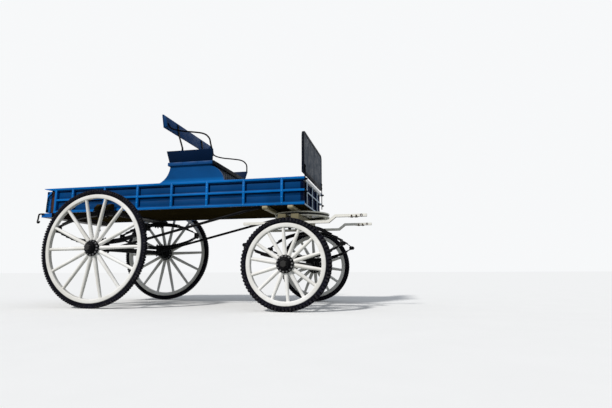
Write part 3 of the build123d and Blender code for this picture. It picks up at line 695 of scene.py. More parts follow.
BOX_FRONT = 1.253
BOX_REAR = -1.655
BOX_HALF = 0.500
PANEL_FACE = 0.478
PANEL_INNER = 0.453
BOARD_FACE = PANEL_FACE - 0.006
BOX_BOTTOM = 1.022
BOX_TOP = 1.306
TOP_RAIL = 0.036
RAIL_FOOT = BOX_TOP - TOP_RAIL
LOW_RAIL_TOP = 1.047
MID_RAIL = (1.158, 1.180)
LIP = 0.143
STAKES = [-0.201 + i * 0.406 for i in range(-3, 4)]
STAKE_HALF = 0.013
STAKE_TOP = 1.284
STAKE_BOLTS = (1.041, 1.105, 1.169, 1.232, 1.288)
FILLET_FACE = 0.487
LOW_FILLET_TOP = 1.060


def side_framing():
    right = [
        bar("low_rail", (BOX_REAR, -BOX_HALF, BOX_BOTTOM), (BOX_FRONT, -PANEL_FACE, LOW_RAIL_TOP), 0.003),
        bar("middle_rail", (BOX_REAR, -BOX_HALF + 0.002, MID_RAIL[0]), (BOX_FRONT, -PANEL_FACE, MID_RAIL[1]), 0.003),
        plate(
            "capping_rail",
            [(x, -BOX_HALF, BOX_TOP - down) for x, down in (
                (BOX_FRONT, 0.024), (BOX_FRONT, 0), (BOX_REAR - LIP, 0), (BOX_REAR - LIP, 0.006),
                (BOX_REAR, TOP_RAIL), (BOX_REAR + 0.004, 0.024),
            )],
            (0, BOX_HALF - PANEL_INNER, 0), 0.003, 2,
        ),
    ]
    for x in STAKES + [BOX_REAR + 0.015]:
        low = (x - STAKE_HALF, -BOX_HALF + 0.0006, BOX_BOTTOM + 0.001)
        right.append(bar("stake", low, (x + STAKE_HALF, -BOARD_FACE, STAKE_TOP), 0.003))
    return both_sides(welded("side_framing", right))


def rail_fillets():
    """Set-back strips above the low rail and under the top rail, in the darker panel paint: partly the panel's own
    colour, partly painted shade.
    """
    front = BOX_FRONT - 0.001
    return both_sides(boards("rail_fillets", (
        ((BOX_REAR, -FILLET_FACE, 1.040), (front, -BOARD_FACE, LOW_FILLET_TOP)),
        ((BOX_REAR, -FILLET_FACE, RAIL_FOOT), (front, -PANEL_INNER, BOX_TOP - 0.020)),
    )))


finished(side_framing(), "wagon", "rails_blue", ("side_frames",))
finished(rail_fillets(), "wagon", "panels_blue", ("side_frames",))

BOARD_ROWS = ((1.0505, 1.122), (1.1235, 1.196), (1.1975, 1.270))
PANEL_FRONT = BOX_FRONT - 0.022
PANEL_BACK = PANEL_FRONT - 0.025
FLOOR_TOP = 1.050
FLOOR_BOARDS = 6
FLOOR_SEAM = 0.002


def side_boarding():
    return both_sides(boards("side_boarding", [
        ((BOX_REAR, -BOARD_FACE, low), (PANEL_BACK, -PANEL_INNER, high)) for low, high in BOARD_ROWS
    ]))


def painted_shadow_strips():
    """Dark strips as painted shadow, where the side boards meet the rails above them and the stakes beside them."""
    front = -PANEL_FACE + 0.0045
    back = -PANEL_FACE + 0.0075
    shadow_strips = [((BOX_REAR, front, top - 0.009), (PANEL_FRONT, back, top)) for top in (RAIL_FOOT, MID_RAIL[0])]
    shadow_strips += [((x + STAKE_HALF, front, LOW_FILLET_TOP), (x + 0.023, back, RAIL_FOOT)) for x in STAKES]
    return both_sides(boards("painted_shadow_strips", shadow_strips, 0.0004, 1))


def front_boarding():
    return boards("front_boarding", [
        ((PANEL_BACK, -PANEL_FACE, low), (PANEL_FRONT, PANEL_FACE, high)) for low, high in BOARD_ROWS
    ])


def floor_boarding():
    pitch = (2 * PANEL_FACE + FLOOR_SEAM) / FLOOR_BOARDS
    edges = [-PANEL_FACE + i * pitch for i in range(FLOOR_BOARDS)]
    return boards("floor_boarding", [
        ((BOX_REAR, y, BOX_BOTTOM), (PANEL_FRONT, y + pitch - FLOOR_SEAM, FLOOR_TOP)) for y in edges
    ])


finished(side_boarding(), "wagon", "panels_blue", ("side_panels",))
# Painted shadow under the rails and beside the stakes.
finished(painted_shadow_strips(), "wagon", "front_navy")
finished(front_boarding(), "wagon", "front_navy", ("front_panel",))
finished(floor_boarding(), "wagon", "underside", ("floor",))


def round_heads(name, places, outward, radius, body, material, mirrored=True):
    """Low round-headed bolts: one is modelled at the first place, and each other place gets a copy."""
    rings = ((-0.003, radius), (0.0, radius), (0.35 * radius, 0.86 * radius), (0.55 * radius, 0.5 * radius))
    head = turned(name, places[0], outward, rings, 10)
    take(head)
    edit_whole()
    for before, after in zip(places, places[1:]):
        bpy.ops.mesh.duplicate_move(TRANSFORM_OT_translate={"value": Vector(after) - Vector(before)})
    put_away()
    if mirrored:
        both_sides(head)
    return finished(head, body, material, (), 50)


stake_bolts = [(x, -BOX_HALF, z) for x in STAKES for z in STAKE_BOLTS]
round_heads("stake_bolts", stake_bolts, OUTWARD, 0.006, "wagon", "highlit_bolt_blue")

FRONT_BATTENS = (-0.350, -0.070, 0.210)
BEAD_BACK = BOX_FRONT - 0.010


def front_grid(name, back, front, rails, half, batten_front, batten_top, soft):
    """Two level strips across the front panel and an upright one at each batten."""
    strips = [((back, -PANEL_FACE, low), (front, PANEL_FACE, high)) for low, high in rails]
    strips += [((back, y - half, BOX_BOTTOM + 0.001), (batten_front, y + half, batten_top)) for y in FRONT_BATTENS]
    return boards(name, strips, soft)


def front_framing():
    """Rails and battens of the front panel, behind their pale beads."""
    rails = ((BOX_BOTTOM, BOX_BOTTOM + 0.018), (1.160, 1.178))
    return front_grid("front_framing", PANEL_FRONT, BEAD_BACK, rails, 0.010, BEAD_BACK, BOX_TOP - 0.034, 0.002)


def front_beads():
    rails = ((BOX_BOTTOM, BOX_BOTTOM + 0.014), (1.162, 1.176))
    return front_grid("front_beads", BEAD_BACK, BOX_FRONT, rails, 0.008, BOX_FRONT - 0.0005, RAIL_FOOT, 0.003)


def front_cap():
    low = (BOX_FRONT - 0.047, -PANEL_INNER, RAIL_FOOT)
    return bar("front_cap", low, (BOX_FRONT, PANEL_INNER, BOX_TOP), 0.004)


finished(front_framing(), "wagon", "front_navy", ("front_frame",))
finished(front_beads(), "wagon", "battens_grey")
finished(front_cap(), "wagon", "cap_white", ("front_frame",))


# Dash: upright ribbed boards in a black binding, on two irons

DASH_LOW = 1.345
DASH_HIGH = 1.782
DASH_HALF = 0.520
DASH_FRONT = BOX_FRONT
DASH_BACK = BOX_FRONT - 0.026
DASH_ROUND = 0.055
DASH_BOARDS = 20
DASH_MARGIN = 0.014
DASH_EDGE = 0.030


def dash_outline_top(y):
    """Height of the dash at a distance from its middle: level, then round at each corner."""
    beyond = abs(y) - (DASH_HALF - DASH_ROUND)
    if beyond <= 0:
        return DASH_HIGH
    return DASH_HIGH - DASH_ROUND + sqrt(max(0.0, DASH_ROUND**2 - beyond**2))


def dash_boarding():
    width = 2 * (DASH_HALF - DASH_MARGIN) / DASH_BOARDS
    ribs = []
    for i in range(DASH_BOARDS):
        left = -DASH_HALF + DASH_MARGIN + i * width
        outer = left if i < DASH_BOARDS / 2 else left + width
        high = (DASH_FRONT - 0.004, left + width, dash_outline_top(outer) - 0.006)
        ribs.append(((DASH_BACK + 0.005, left, DASH_LOW + 0.003), high))
    return boards("dash_boarding", ribs, 0.0065)


def dash_binding():
    """Black edging that follows the dash's outline all round."""
    outline = [(-DASH_HALF, DASH_LOW), (DASH_HALF, DASH_LOW)]
    for side, start in ((1, 0), (-1, pi / 2)):
        for step in range(7):
            turn = start + step * pi / 12
            across = side * (DASH_HALF - DASH_ROUND) + DASH_ROUND * cos(turn)
            outline.append((across, DASH_HIGH - DASH_ROUND + DASH_ROUND * sin(turn)))
    piece = outline_started("dash_binding", [(DASH_BACK, y, z) for y, z in outline])
    bpy.ops.mesh.inset(thickness=DASH_EDGE)
    bpy.ops.mesh.delete(type="FACE")
    select_whole()
    pull((DASH_FRONT - DASH_BACK, 0, 0))
    face_outwards()
    take(piece)
    bpy.ops.object.modifier_add(type="BEVEL")
    bevel = piece.modifiers[-1]
    bevel.width = 0.003
    bevel.segments = 2
    bevel.limit_method = "ANGLE"
    bpy.ops.object.modifier_apply(modifier=bevel.name)
    return piece


finished(dash_boarding(), "wagon", "dash_grey", ("dash",))
finished(dash_binding(), "wagon", "dash_black", ("dash",))

DASH_IRON_Y = 0.485
DASH_IRON_HALF = 0.015
RIVET_HEAD = ((-0.001, 0.009), (0.001, 0.009), (0.0045, 0.0065), (0.0055, 0.003))


def dash_iron():
    front = BOX_FRONT + 0.006
    out = (1, 0, 0)
    low = (BOX_FRONT, -DASH_IRON_Y - DASH_IRON_HALF, 1.105)
    parts = [bar("dash_iron", low, (front, -DASH_IRON_Y + DASH_IRON_HALF, 1.430), 0.0025)]
    for z in (1.150, 1.280):
        place = (front, -DASH_IRON_Y, z)
        parts.append(nut("iron_nut", place, out, 0.0128, 0.011, 0.0105, 0.002))
        parts.append(stem("iron_stud", place, out, 0.011, 0.0215, 0.023, 0.0080, 0.006, 12))
    for z in (1.365, 1.412):
        parts.append(turned("iron_rivet", (front, -DASH_IRON_Y, z), out, RIVET_HEAD, 12))
    return both_sides(welded("dash_iron", parts))


finished(dash_iron(), "wagon", "matt_iron", ("dash_irons",))


# Seat: boards, nosing, splayed sides, back and its irons

SEAT_BOARD = (1.487, 1.523)
SEAT_HALF = 0.512
SEAT_NOSE = 0.272
SEAT_PLANKS = ((-0.250, -0.0755), (-0.0755, 0.100), (0.100, 0.2635))
SEAT_FRONT_BOARDS = 15
SEAT_FRONT_HALF = 0.462
SEAT_FRONT_FACE = 0.262
SIDE_X = 0.01
SIDE_LOW_Y = 0.492
SIDE_TOP_Y = 0.530
SIDE_LENGTH = 0.494
SIDE_TOP_LENGTH = 0.532
SIDE_THICKNESS = 0.020
SIDE_HEIGHT = 0.120


def seat_planks():
    low, high = SEAT_BOARD
    return boards("seat_planks", [
        ((rear, -SEAT_HALF, low), (front, SEAT_HALF, high)) for rear, front in SEAT_PLANKS
    ], 0.0018)


def seat_nosing():
    low = (SEAT_FRONT_FACE, -SEAT_HALF + 0.006, SEAT_BOARD[0] - 0.006)
    return bar("seat_nosing", low, (SEAT_NOSE + 0.006, SEAT_HALF - 0.006, SEAT_BOARD[1] + 0.003), 0.004)


def seat_front_boarding():
    width = 2 * SEAT_FRONT_HALF / SEAT_FRONT_BOARDS
    edges = [-SEAT_FRONT_HALF + i * width for i in range(SEAT_FRONT_BOARDS)]
    top = SEAT_BOARD[0] - 0.0005
    return boards("seat_front_boarding", [
        ((0.244, y + 0.0006, FLOOR_TOP), (SEAT_FRONT_FACE, y + width - 0.0006, top)) for y in edges
    ], 0.005)


def seat_side_panel():
    """Board whose top edge is longer than its foot and lies further out."""
    foot = SEAT_BOARD[1]
    top = foot + SIDE_HEIGHT
    middle = (SIDE_X, -SIDE_LOW_Y, (foot + top) / 2)
    put_away()
    bpy.ops.mesh.primitive_cube_add(size=1, location=middle)
    piece = named("seat_side_panels")
    edit_whole()
    stretch((SIDE_LENGTH, SIDE_THICKNESS, SIDE_HEIGHT), middle)
    bpy.ops.mesh.select_all(action="DESELECT")
    mesh = bmesh.from_edit_mesh(piece.data)
    for face in mesh.faces:
        face.select_set(face.normal.z > 0.9)
    bmesh.update_edit_mesh(piece.data)
    stretch((SIDE_TOP_LENGTH / SIDE_LENGTH, 1, 1), (SIDE_X, 0, top))
    bpy.ops.transform.translate(value=(0.001, -(SIDE_TOP_Y - SIDE_LOW_Y), 0))
    select_whole()
    bpy.ops.mesh.bevel(offset=0.003, segments=2, affect="EDGES")
    put_away()
    return both_sides(piece)


finished(seat_planks(), "wagon", "seat_rail", ("seat_board",))
finished(seat_nosing(), "wagon", "dash_black")
finished(seat_front_boarding(), "wagon", "dash_grey", ("seat_front",))
finished(seat_side_panel(), "wagon", "seat_navy", ("seat_sides",))

BACK_LEAN = radians(9)
BACK_PLACE = Vector((-0.272, 0, 1.890))
BACK_HIGH = 0.150
BACK_HALF = 0.600


def on_back(forward, y, up):
    """Place on the leaning back board, from its rear bottom edge."""
    return (
        BACK_PLACE.x + forward * cos(BACK_LEAN) - up * sin(BACK_LEAN),
        y,
        BACK_PLACE.z + forward * sin(BACK_LEAN) + up * cos(BACK_LEAN),
    )


def back_rest():
    """Back board with a rounded wing at either end."""
    rise = Vector(on_back(0, 0, BACK_HIGH)) - Vector(on_back(0, 0, 0))
    foot = ((0, -BACK_HALF), (0.018, -BACK_HALF), (0.018, BACK_HALF), (0, BACK_HALF))
    board = plate("back_board", [on_back(forward, y, 0) for forward, y in foot], rise, 0.004, 2)
    side = (
        (0.006, 0), (0.040, 0.004), (0.046, 0.016),
        (0.046, BACK_HIGH - 0.050), (0.036, BACK_HIGH - 0.022), (0.006, BACK_HIGH),
    )
    wing = plate("back_wing", [on_back(forward, -BACK_HALF, up) for forward, up in side], (0, 0.018, 0), 0.003, 2)
    return welded("back_rest", [board, both_sides(wing)])


finished(back_rest(), "wagon", "back_blue", ("backboard",))

BACK_IRON_Y = 0.300
BACK_BOLT = ((-0.002, 0.008), (0.001, 0.008), (0.004, 0.006), (0.005, 0.003))
FOOT_BOLT = ((-0.001, 0.006), (0.001, 0.006), (0.003, 0.0045), (0.0038, 0.002))


def back_iron():
    """Strap that rises from the seat board and leans with the back, on a bolted foot."""
    line = [(-0.200, 1.523), (-0.206, 1.745), on_back(0.018, 0, 0)[::2], on_back(0.018, 0, 0.130)[::2]]
    outline = [(x, -0.316, z) for x, z in line] + [(x + 0.009, -0.316, z) for x, z in reversed(line)]
    parts = [
        plate("back_irons", outline, (0, 0.032, 0), 0.002),
        bar("iron_foot", (-0.213, -0.318, 1.523), (-0.150, -0.282, 1.531), 0.002, 1),
    ]
    for up in (0.030, 0.105):
        place = on_back(0.027, -BACK_IRON_Y, up)
        parts.append(turned("iron_bolt", place, (cos(BACK_LEAN), 0, sin(BACK_LEAN)), BACK_BOLT, 12))
    for x in (-0.182, -0.162):
        parts.append(turned("foot_bolt", (x, -BACK_IRON_Y, 1.531), (0, 0, 1), FOOT_BOLT, 10))
    return both_sides(welded("back_irons", parts))


finished(back_iron(), "wagon", "iron", ("back_posts",))

ARM_Y = 0.562
ARM_ROD = [(x, -ARM_Y, z) for x, z in (
    (-0.257, 1.968), (-0.236, 1.935), (-0.205, 1.888), (-0.095, 1.852), (0.060, 1.830), (0.190, 1.806),
)]
ARM_ROD += [(0.250, -0.560, 1.750), (0.258, -0.556, 1.690), (0.264, -0.534, 1.646)]
rod("arm_rods", ARM_ROD, 0.0084, "wagon", "matt_iron", ("arm_rails",))


# Springs: single leaves with their eyes, the clips round them and the shackles

LEAF = 0.009
LEAF_STEP = 0.12
ARC_STEPS = 20
EYE = 0.017
REAR_SPRING_Y = 0.560
REAR_LEAF_HALF = 0.025
REAR_SPRING_HALF = 0.545
REAR_PACK = 0.045
SPRING_MIDDLE = -0.963
SHACKLE_ENDS = (SPRING_MIDDLE - REAR_SPRING_HALF, SPRING_MIDDLE + REAR_SPRING_HALF)
SHACKLE_EYES = (0.806, 0.848)
FRONT_SPRING_Y = 0.430
FRONT_LEAF_HALF = 0.024
FRONT_SPRING_HALF = 0.503
FRONT_PACK = 0.036
FRONT_EYE_Z = 0.632


def spring_leaf(middle_x, crown_z, half, rise, index, curve, side_low, side_high):
    """One leaf, bent to the arc of its pack and shorter than the one before it."""
    radius = (half**2 + rise**2) / (2 * rise)
    centre_z = crown_z + curve * radius
    reach = asin(half * (1 - LEAF_STEP * index) / radius)
    inner = radius + index * LEAF
    turns = [reach * (2 * step / ARC_STEPS - 1) for step in range(ARC_STEPS + 1)]
    near = [(middle_x + inner * sin(t), side_low, centre_z - curve * inner * cos(t)) for t in turns]
    outer = inner + LEAF - 0.0005
    far = [(middle_x + outer * sin(t), side_low, centre_z - curve * outer * cos(t)) for t in reversed(turns)]
    return plate("leaf", near + far, (0, side_high - side_low, 0), 0.0012)


def spring_eye(x, y, z, half):
    rings = ((0, EYE - 0.002), (0.002, EYE), (2 * half - 0.002, EYE), (2 * half, EYE - 0.002))
    return turned("spring_eye", (x, y - half, z), (0, 1, 0), rings, 20)


def leaf_springs(name, middle_x, packs, half, count, y, across, eyes, clips):
    """Both packs of an elliptic spring: each pack is (crown, rise, curve), each clip (x, low, high)."""
    parts = []
    for crown, rise, curve in packs:
        for index in range(count):
            parts.append(spring_leaf(middle_x, crown, half, rise, index, curve, -y - across, -y + across))
    for x, z in eyes:
        parts.append(spring_eye(x, -y, z, across))
    for x, low, high in clips:
        corner = (x - 0.043, -y - across - 0.003, low)
        parts.append(bar("clip_body", corner, (x + 0.043, -y + across + 0.003, high), 0.002, 1))
    return both_sides(welded(name, parts))


rear_eyes = [(x, z) for x in SHACKLE_ENDS for z in SHACKLE_EYES]
rear_packs = ((0.700, 0.106, 1), (0.963, 0.115, -1))
rear_clips = ((REAR_AXLE, 0.655, 0.700), (SPRING_MIDDLE, 0.963, 1.008))
front_eyes = [(FRONT_AXLE + end * FRONT_SPRING_HALF, FRONT_EYE_Z) for end in (-1, 1)]
front_packs = ((0.513, 0.119, 1), (0.802, 0.170, -1))
front_clips = ((FRONT_AXLE, 0.477, 0.513), (FRONT_AXLE, 0.802, 0.838))
finished(
    leaf_springs(
        "rear_leaf_springs", SPRING_MIDDLE, rear_packs, REAR_SPRING_HALF, 5,
        REAR_SPRING_Y, REAR_LEAF_HALF, rear_eyes, rear_clips,
    ),
    "wagon", "iron", ("rear_springs",), 40,
)
finished(
    leaf_springs(
        "front_leaf_springs", FRONT_AXLE, front_packs, FRONT_SPRING_HALF, 4,
        FRONT_SPRING_Y, FRONT_LEAF_HALF, front_eyes, front_clips,
    ),
    "front_gear", "iron", ("front_springs",), 40,
)

SPRING_HEAD = (
    (-0.021, -0.006), (-0.021, 0.006), (-0.011, 0.018), (0.022, 0.021), (0.034, 0.014),
    (0.034, -0.014), (0.022, -0.021), (-0.011, -0.018),
)


def eye_nuts():
    """Forged heads and nuts on both faces of the front springs' eyes."""
    parts = []
    for x, z in front_eyes:
        inward = 1 if x < FRONT_AXLE else -1
        for face in (-1, 1):
            foot = (x, -FRONT_SPRING_Y + face * FRONT_LEAF_HALF, z)
            parts.append(nut("eye_nut", foot, (0, face, 0), 0.0138, 0.0075, 0.0115))
            corners = [(x + inward * ahead, foot[1], z + up) for ahead, up in SPRING_HEAD]
            parts.append(plate("spring_head", corners, (0, face * 0.0045, 0)))
    return both_sides(welded("eye_nuts", parts))


finished(eye_nuts(), "front_gear", "iron")


def spring_clips(label, x, y, half, pack, seat_z, outward):
    """Plate over a pack of leaves, drawn to its seat by two U-bolts and four nuts."""
    plate_z = seat_z + outward * pack
    tip = plate_z + outward * 0.009
    low, high = sorted((seat_z, plate_z))
    corner = (x - 0.050, -y - half - 0.010, min(plate_z, tip))
    parts = [bar("clip_plate", corner, (x + 0.050, -y + half + 0.010, max(plate_z, tip)), 0.002, 1)]
    for end in (-1, 1):
        bolt_x = x + end * 0.036
        for near, far in ((-half - 0.0105, -half - 0.0025), (half + 0.0025, half + 0.0105)):
            corner = (bolt_x - 0.006, -y + near, low + 0.001)
            parts.append(bar("u_bolt", corner, (bolt_x + 0.006, -y + far, high - 0.001), 0.002, 1))
        for across in (-half - 0.005, half + 0.005):
            foot = (bolt_x, -y + across, tip)
            parts.append(nut("clip_nut", foot, (0, 0, outward), 0.0095, 0.008, 0.008))
            parts.append(stem("clip_thread", foot, (0, 0, outward), 0.008, 0.0145, 0.0155, 0.0058, 0.0045))
    return both_sides(welded(f"{label}_clips", parts))


# Each clip: label, middle, side, half width, height of the pack, its face on the seat, way out from there, body
SPRING_CLIPS = (
    ("rear_lower", REAR_AXLE, REAR_SPRING_Y, REAR_LEAF_HALF, REAR_PACK, 0.655, 1, "wagon"),
    ("rear_upper", SPRING_MIDDLE, REAR_SPRING_Y, REAR_LEAF_HALF, REAR_PACK, 1.008, -1, "wagon"),
    ("front_lower", FRONT_AXLE, FRONT_SPRING_Y, FRONT_LEAF_HALF, FRONT_PACK, 0.477, 1, "front_gear"),
    ("front_upper", FRONT_AXLE, FRONT_SPRING_Y, FRONT_LEAF_HALF, FRONT_PACK, 0.838, -1, "front_gear"),
)
for *clip, body in SPRING_CLIPS:
    finished(spring_clips(*clip), body, "iron", (), 35)


def shackle_links():
    """Pairs of side plates with round ends, the pins through them and their nuts."""
    low_z, high_z = SHACKLE_EYES
    parts = []
    for x in SHACKLE_ENDS:
        outline = []
        for eye_z, start in ((high_z, 0), (low_z, pi)):
            for step in range(11):
                turn = start + pi * step / 10
                outline.append((x + EYE * cos(turn), eye_z + EYE * sin(turn)))
        for face in (-1, 1):
            out = (0, face, 0)
            inner = -REAR_SPRING_Y + face * 0.0253
            parts.append(plate("shackle_plate", [(px, inner, pz) for px, pz in outline], (0, face * 0.008, 0)))
            for z in SHACKLE_EYES:
                foot = (x, -REAR_SPRING_Y + face * 0.0325, z)
                parts.append(nut("shackle_pin", foot, out, 0.0125, 0.0055, 0.0105))
                parts.append(stem("shackle_tip", foot, out, 0.006, 0.0080, 0.0085, 0.0075, 0.006, 12))
    return both_sides(welded("shackle_links", parts))


finished(shackle_links(), "wagon", "iron", ("rear_shackles",), 35)


# Tail: hooks, keeper chains, the gate's boards, frame and straps

HOOK_Y = 0.507
HOOK_LINE = [(x, -HOOK_Y, z) for x, z in (
    (-1.768, 1.014), (-1.806, 1.015), (-1.828, 1.014), (-1.834, 1.000), (-1.837, 0.960),
    (-1.845, 0.932), (-1.844, 0.918), (-1.832, 0.914), (-1.820, 0.920), (-1.818, 0.936),
)]
rod("forged_tail_hooks", HOOK_LINE, 0.0085, "wagon", "iron", ("tail_hooks",))

CHAIN_Y = 0.512
CHAIN_SPACING = 0.0128
CHAIN_PATH = (
    (-1.668, 1.262), (-1.678, 1.238), (-1.696, 1.222), (-1.714, 1.206), (-1.726, 1.180), (-1.731, 1.130),
    (-1.733, 1.080), (-1.734, 1.036),
)


def ring_started(name, place, turn, radius, thickness, steps, sides):
    """A round link, taken into edit mode."""
    put_away()
    bpy.ops.mesh.primitive_torus_add(
        major_segments=steps, minor_segments=sides, major_radius=radius, minor_radius=thickness,
        location=place, rotation=turn,
    )
    piece = named(name)
    edit_whole()
    return piece


def keeper_chain():
    """Chain from the corner post over the gate's edge, every second link turned a quarter."""
    places = []
    ahead = 0.0
    for (x0, z0), (x1, z1) in zip(CHAIN_PATH, CHAIN_PATH[1:]):
        run = sqrt((x1 - x0) ** 2 + (z1 - z0) ** 2)
        lean = asin((x1 - x0) / run)
        while ahead < run:
            share = ahead / run
            places.append(((x0 + (x1 - x0) * share, -CHAIN_Y, z0 + (z1 - z0) * share), lean))
            ahead += CHAIN_SPACING
        ahead -= run
    links = []
    for i, (place, lean) in enumerate(places):
        turn = (pi / 2, 0, 0) if i % 2 else (0, pi / 2, 0)
        links.append(ring_started("chain_link", place, turn, 0.0056, 0.0030, 14, 6))
        stretch((1, 1, 1.42), place)
        bpy.ops.transform.rotate(value=lean, orient_axis="Y", center_override=place)
        put_away()
    x, z = CHAIN_PATH[0]
    staple = (x, -CHAIN_Y, z + 0.012)
    links.append(stem("chain_staple", staple, (0, 1, 0), -0.006, 0.022, 0.023, 0.007, 0.005))
    return both_sides(welded("keeper_chains", links))


finished(keeper_chain(), "wagon", "matt_iron")

GATE_INNER = -1.694
GATE_FACE = -1.722
GATE_OUTER = -1.751
GATE_LOW = 1.030
GATE_HIGH = 1.270
GATE_BOARDS = ((GATE_LOW, 1.109), (1.1105, 1.1895), (1.191, GATE_HIGH))
GATE_RAILS = ((GATE_LOW, 1.068), MID_RAIL, (1.234, GATE_HIGH))
GATE_BATTENS = (-0.485, -0.163, 0.163, 0.485)
HINGES = (-0.324, 0.0, 0.324)
STRAP_BOLTS = (1.080, 1.118, 1.158)
STRAP = (
    (-0.018, 1.034), (0.018, 1.034), (0.016, 1.100), (0.011, 1.165), (0.007, 1.178), (0, 1.181),
    (-0.007, 1.178), (-0.011, 1.165), (-0.016, 1.100),
)
STRAP_BARREL = ((0, 0.008), (0.0015, 0.009), (0.0345, 0.009), (0.036, 0.008))


def gate_boarding():
    return boards("gate_boarding", [
        ((GATE_FACE, -BOX_HALF, low), (GATE_INNER, BOX_HALF, high)) for low, high in GATE_BOARDS
    ])


def gate_framing():
    parts = [
        bar("gate_rail", (GATE_OUTER, -BOX_HALF, low), (GATE_FACE, BOX_HALF, high), 0.003)
        for low, high in GATE_RAILS
    ]
    for y in GATE_BATTENS:
        low = (GATE_OUTER, y - 0.015, GATE_LOW + 0.001)
        parts.append(bar("gate_batten", low, (GATE_FACE, y + 0.015, GATE_HIGH - 0.001), 0.004))
    return welded("gate_framing", parts)


def strap_hinges():
    """Straps that taper up the gate from the hinge barrels."""
    parts = []
    for y in HINGES:
        parts.append(plate("strap", [(GATE_OUTER, y + across, z) for across, z in STRAP], (-0.006, 0, 0)))
        parts.append(turned("strap_barrel", (-1.760, y - 0.018, 1.031), (0, 1, 0), STRAP_BARREL, 18))
    return welded("strap_hinges", parts)


finished(gate_boarding(), "tailgate", "gate_blue", ("tailgate",))
finished(gate_framing(), "tailgate", "rails_blue", ("tailgate_frame",))
finished(strap_hinges(), "tailgate", "iron", ("tailgate_straps",), 35)

strap_bolts = [(GATE_OUTER - 0.006, y, z) for y in HINGES for z in STRAP_BOLTS]
round_heads("hinge_bolts", strap_bolts, (-1, 0, 0), 0.0065, "tailgate", "iron", False)


# Running gear: jaws at the tips of the bars, beams, ring bolts, sills and plates under the axles

BAR_Y = 0.400
BAR_FOOT = 0.894
STUD_Z = 0.9035
PIN_PLACE = (1.802, 0.907)
SCALLOPS = (
    (1.668, 1.694, 0.003), (1.694, 1.718, 0.008), (1.718, 1.740, 0.004), (1.740, 1.764, 0.008),
    (1.764, 1.778, 0.003),
)
JAW_STUD = ((-0.030, 0.004), (-0.0295, 0.005), (0.0295, 0.005), (0.030, 0.004))


def bar_jaws():
    """Thin scalloped iron under each tip, and the eyes of the pin on both faces."""
    parts = []
    for rear, front, drop in SCALLOPS:
        low = (rear, -BAR_Y - 0.012, BAR_FOOT - drop)
        parts.append(bar("jaw_iron", low, (front, -BAR_Y + 0.012, BAR_FOOT + 0.0005), 0.0012, 1))
    pin_x, pin_z = PIN_PLACE
    for face in (-1, 1):
        place = (pin_x, -BAR_Y + face * 0.019, pin_z)
        parts.append(ring_started("pin_eye", place, (pi / 2, 0, 0), 0.0106, 0.0034, 24, 8))
        stretch((1, 0.8, 1), place)
        put_away()
    return both_sides(welded("bar_jaws", parts))


def jaw_studs():
    """Two bolts through each bar's tip, a nut at either end."""
    parts = []
    for x in (1.706, 1.752):
        parts.append(turned("jaw_stud", (x, -BAR_Y, STUD_Z), (0, 1, 0), JAW_STUD, 10))
        for face in (-1, 1):
            parts.append(nut("jaw_nut", (x, -BAR_Y + face * 0.018, STUD_Z), (0, face, 0), 0.0085, 0.007, 0.007))
    return both_sides(welded("jaw_studs", parts))


finished(bar_jaws(), "front_gear", "pin_brown")
finished(jaw_studs(), "front_gear", "pin_brown", ("jaw_bolts",))

RING_BOLT_RADIUS = 0.276
RING_BOLTS = (20, 65, 115, 160, 200, 245, 295, 340)
SILL_HALF = 0.496
SILL_END = ((0.496, 0.999), (0.493, 0.992), (0.488, 0.987), (0.482, 0.985))


def beam_timbers():
    spans = [((x - 0.042, -0.445, 0.864), (x + 0.042, 0.445, 0.9387)) for x in (1.005, 1.140)]
    return boards("beam_timbers", spans, 0.006, 3)


finished(beam_timbers(), "front_gear", "beam_shade_beige", ("front_beams",))

ring_places = [
    (FRONT_AXLE + RING_BOLT_RADIUS * cos(radians(turn)), RING_BOLT_RADIUS * sin(radians(turn)), 0.939)
    for turn in RING_BOLTS
]
round_heads("ring_bolts", ring_places, (0, 0, -1), 0.009, "front_gear", "ring_cream", False)


def sill_timbers():
    """Cross sills with rounded lower ends."""
    outline = [(-SILL_HALF, BOX_BOTTOM), (SILL_HALF, BOX_BOTTOM), *SILL_END]
    outline += [(-y, z) for y, z in reversed(SILL_END)]
    return welded("sill_timbers", [
        plate("sill", [(x - 0.030, y, z) for y, z in outline], (0.060, 0, 0), 0.010, 3) for x in (0.840, 1.105)
    ])


finished(sill_timbers(), "wagon", "sill_beige", ("cross_sills",))


def tie_plate(name, x, y, z, body):
    """Plate under the axle with four nuts, which the spring's bolts pull up against the seat."""
    parts = [bar("tie_plate", (x - 0.046, -y - 0.040, z - 0.034), (x + 0.046, -y + 0.040, z - 0.025), 0.002, 1)]
    for end in (-1, 1):
        for side in (-1, 1):
            foot = (x + end * 0.034, -y + side * 0.031, z - 0.034)
            parts.append(nut("tie_nut", foot, (0, 0, -1), 0.009, 0.008, 0.0075))
            parts.append(stem("tie_bolt", foot, (0, 0, 1), -0.012, 0.075, 0.0755, 0.0055, 0.005))
    return finished(both_sides(welded(name, parts)), body, "iron", (), 35)


tie_plate("rear_tie_plates", REAR_AXLE, REAR_SPRING_Y, REAR_WHEEL["radius"], "wagon")
tie_plate("front_tie_plates", FRONT_AXLE, FRONT_SPRING_Y, FRONT_WHEEL["radius"], "front_gear")


# Floor, surroundings and lamp

FLOOR_TONES = ((0.915, 0.920, 0.920), (0.930, 0.935, 0.935))
FLOOR_BOUNCE = (0.30, 0.31, 0.28)
WORLD_LIGHT = (0.88, 0.93, 1.0, 1)
WORLD_STRENGTH = 0.44
WORLD_SEEN = (0.93, 0.94, 0.95, 1)
KEY_PLACE = Vector((-3.2, -5.8, 5.6))
KEY_STRENGTH = 2.75
KEY_SPREAD = radians(6)
KEY_COLOUR = (1.0, 0.97, 0.93)


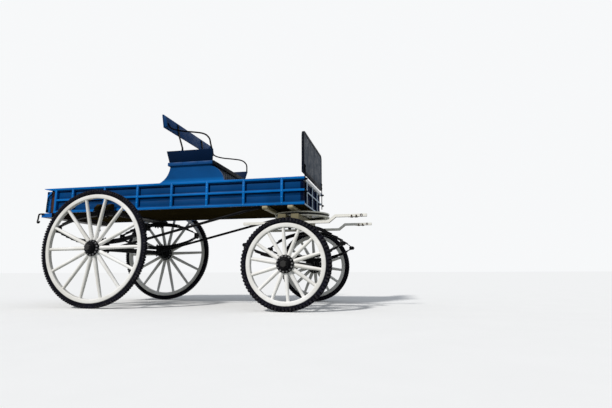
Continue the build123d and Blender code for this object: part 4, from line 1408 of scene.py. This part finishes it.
def seen_directly(tree):
    """1 for what the camera, a mirror or glass shows, 0 for light that bounces on."""
    path = tree.nodes.new("ShaderNodeLightPath")
    seen = path.outputs["Is Camera Ray"]
    for ray in ("Is Glossy Ray", "Is Transmission Ray"):
        either = tree.nodes.new("ShaderNodeMath")
        either.operation = "MAXIMUM"
        tree.links.new(seen, either.inputs[0])
        tree.links.new(path.outputs[ray], either.inputs[1])
        seen = either.outputs[0]
    return seen


def stage_surface():
    """Pale matt floor, even all over, that keeps the wagon's shadow and throws back little light."""
    finish = Finish("floor_pale", 0.95, 0.0)
    pale = finish.mix(finish.ramp(finish.noise(3.0, 4.0), 0.3, 0.7), *FLOOR_TONES)
    finish.colour(finish.mix(seen_directly(finish.tree), FLOOR_BOUNCE, pale))
    return finish.material


def build_stage():
    put_away()
    bpy.ops.mesh.primitive_plane_add(size=400, location=(0, 60, 0))
    floor = bpy.context.object
    floor.name = "studio_floor"
    floor.data.materials.append(stage_surface())
    world = bpy.data.worlds.new("studio")
    bpy.context.scene.world = world
    world.use_nodes = True
    tree = world.node_tree
    light = tree.nodes["Background"]
    light.inputs["Color"].default_value = WORLD_LIGHT
    light.inputs["Strength"].default_value = WORLD_STRENGTH
    white = tree.nodes.new("ShaderNodeBackground")
    white.inputs["Color"].default_value = WORLD_SEEN
    white.inputs["Strength"].default_value = 1
    mixed = tree.nodes.new("ShaderNodeMixShader")
    tree.links.new(seen_directly(tree), mixed.inputs[0])
    tree.links.new(light.outputs[0], mixed.inputs[1])
    tree.links.new(white.outputs[0], mixed.inputs[2])
    tree.links.new(mixed.outputs[0], tree.nodes["World Output"].inputs["Surface"])


def key_lamp():
    """Far soft lamp that lights the wagon and the floor evenly."""
    data = bpy.data.lights.new("high_key", "SUN")
    data.energy = KEY_STRENGTH
    data.angle = KEY_SPREAD
    data.color = KEY_COLOUR
    made = bpy.data.objects.new("high_key", data)
    made.matrix_world = (-KEY_PLACE).to_track_quat("-Z", "Y").to_matrix().to_4x4()
    made.matrix_world.translation = KEY_PLACE
    bpy.context.scene.collection.objects.link(made)


bpy.context.scene.view_settings.view_transform = "Standard"
build_stage()
key_lamp()
place_camera()
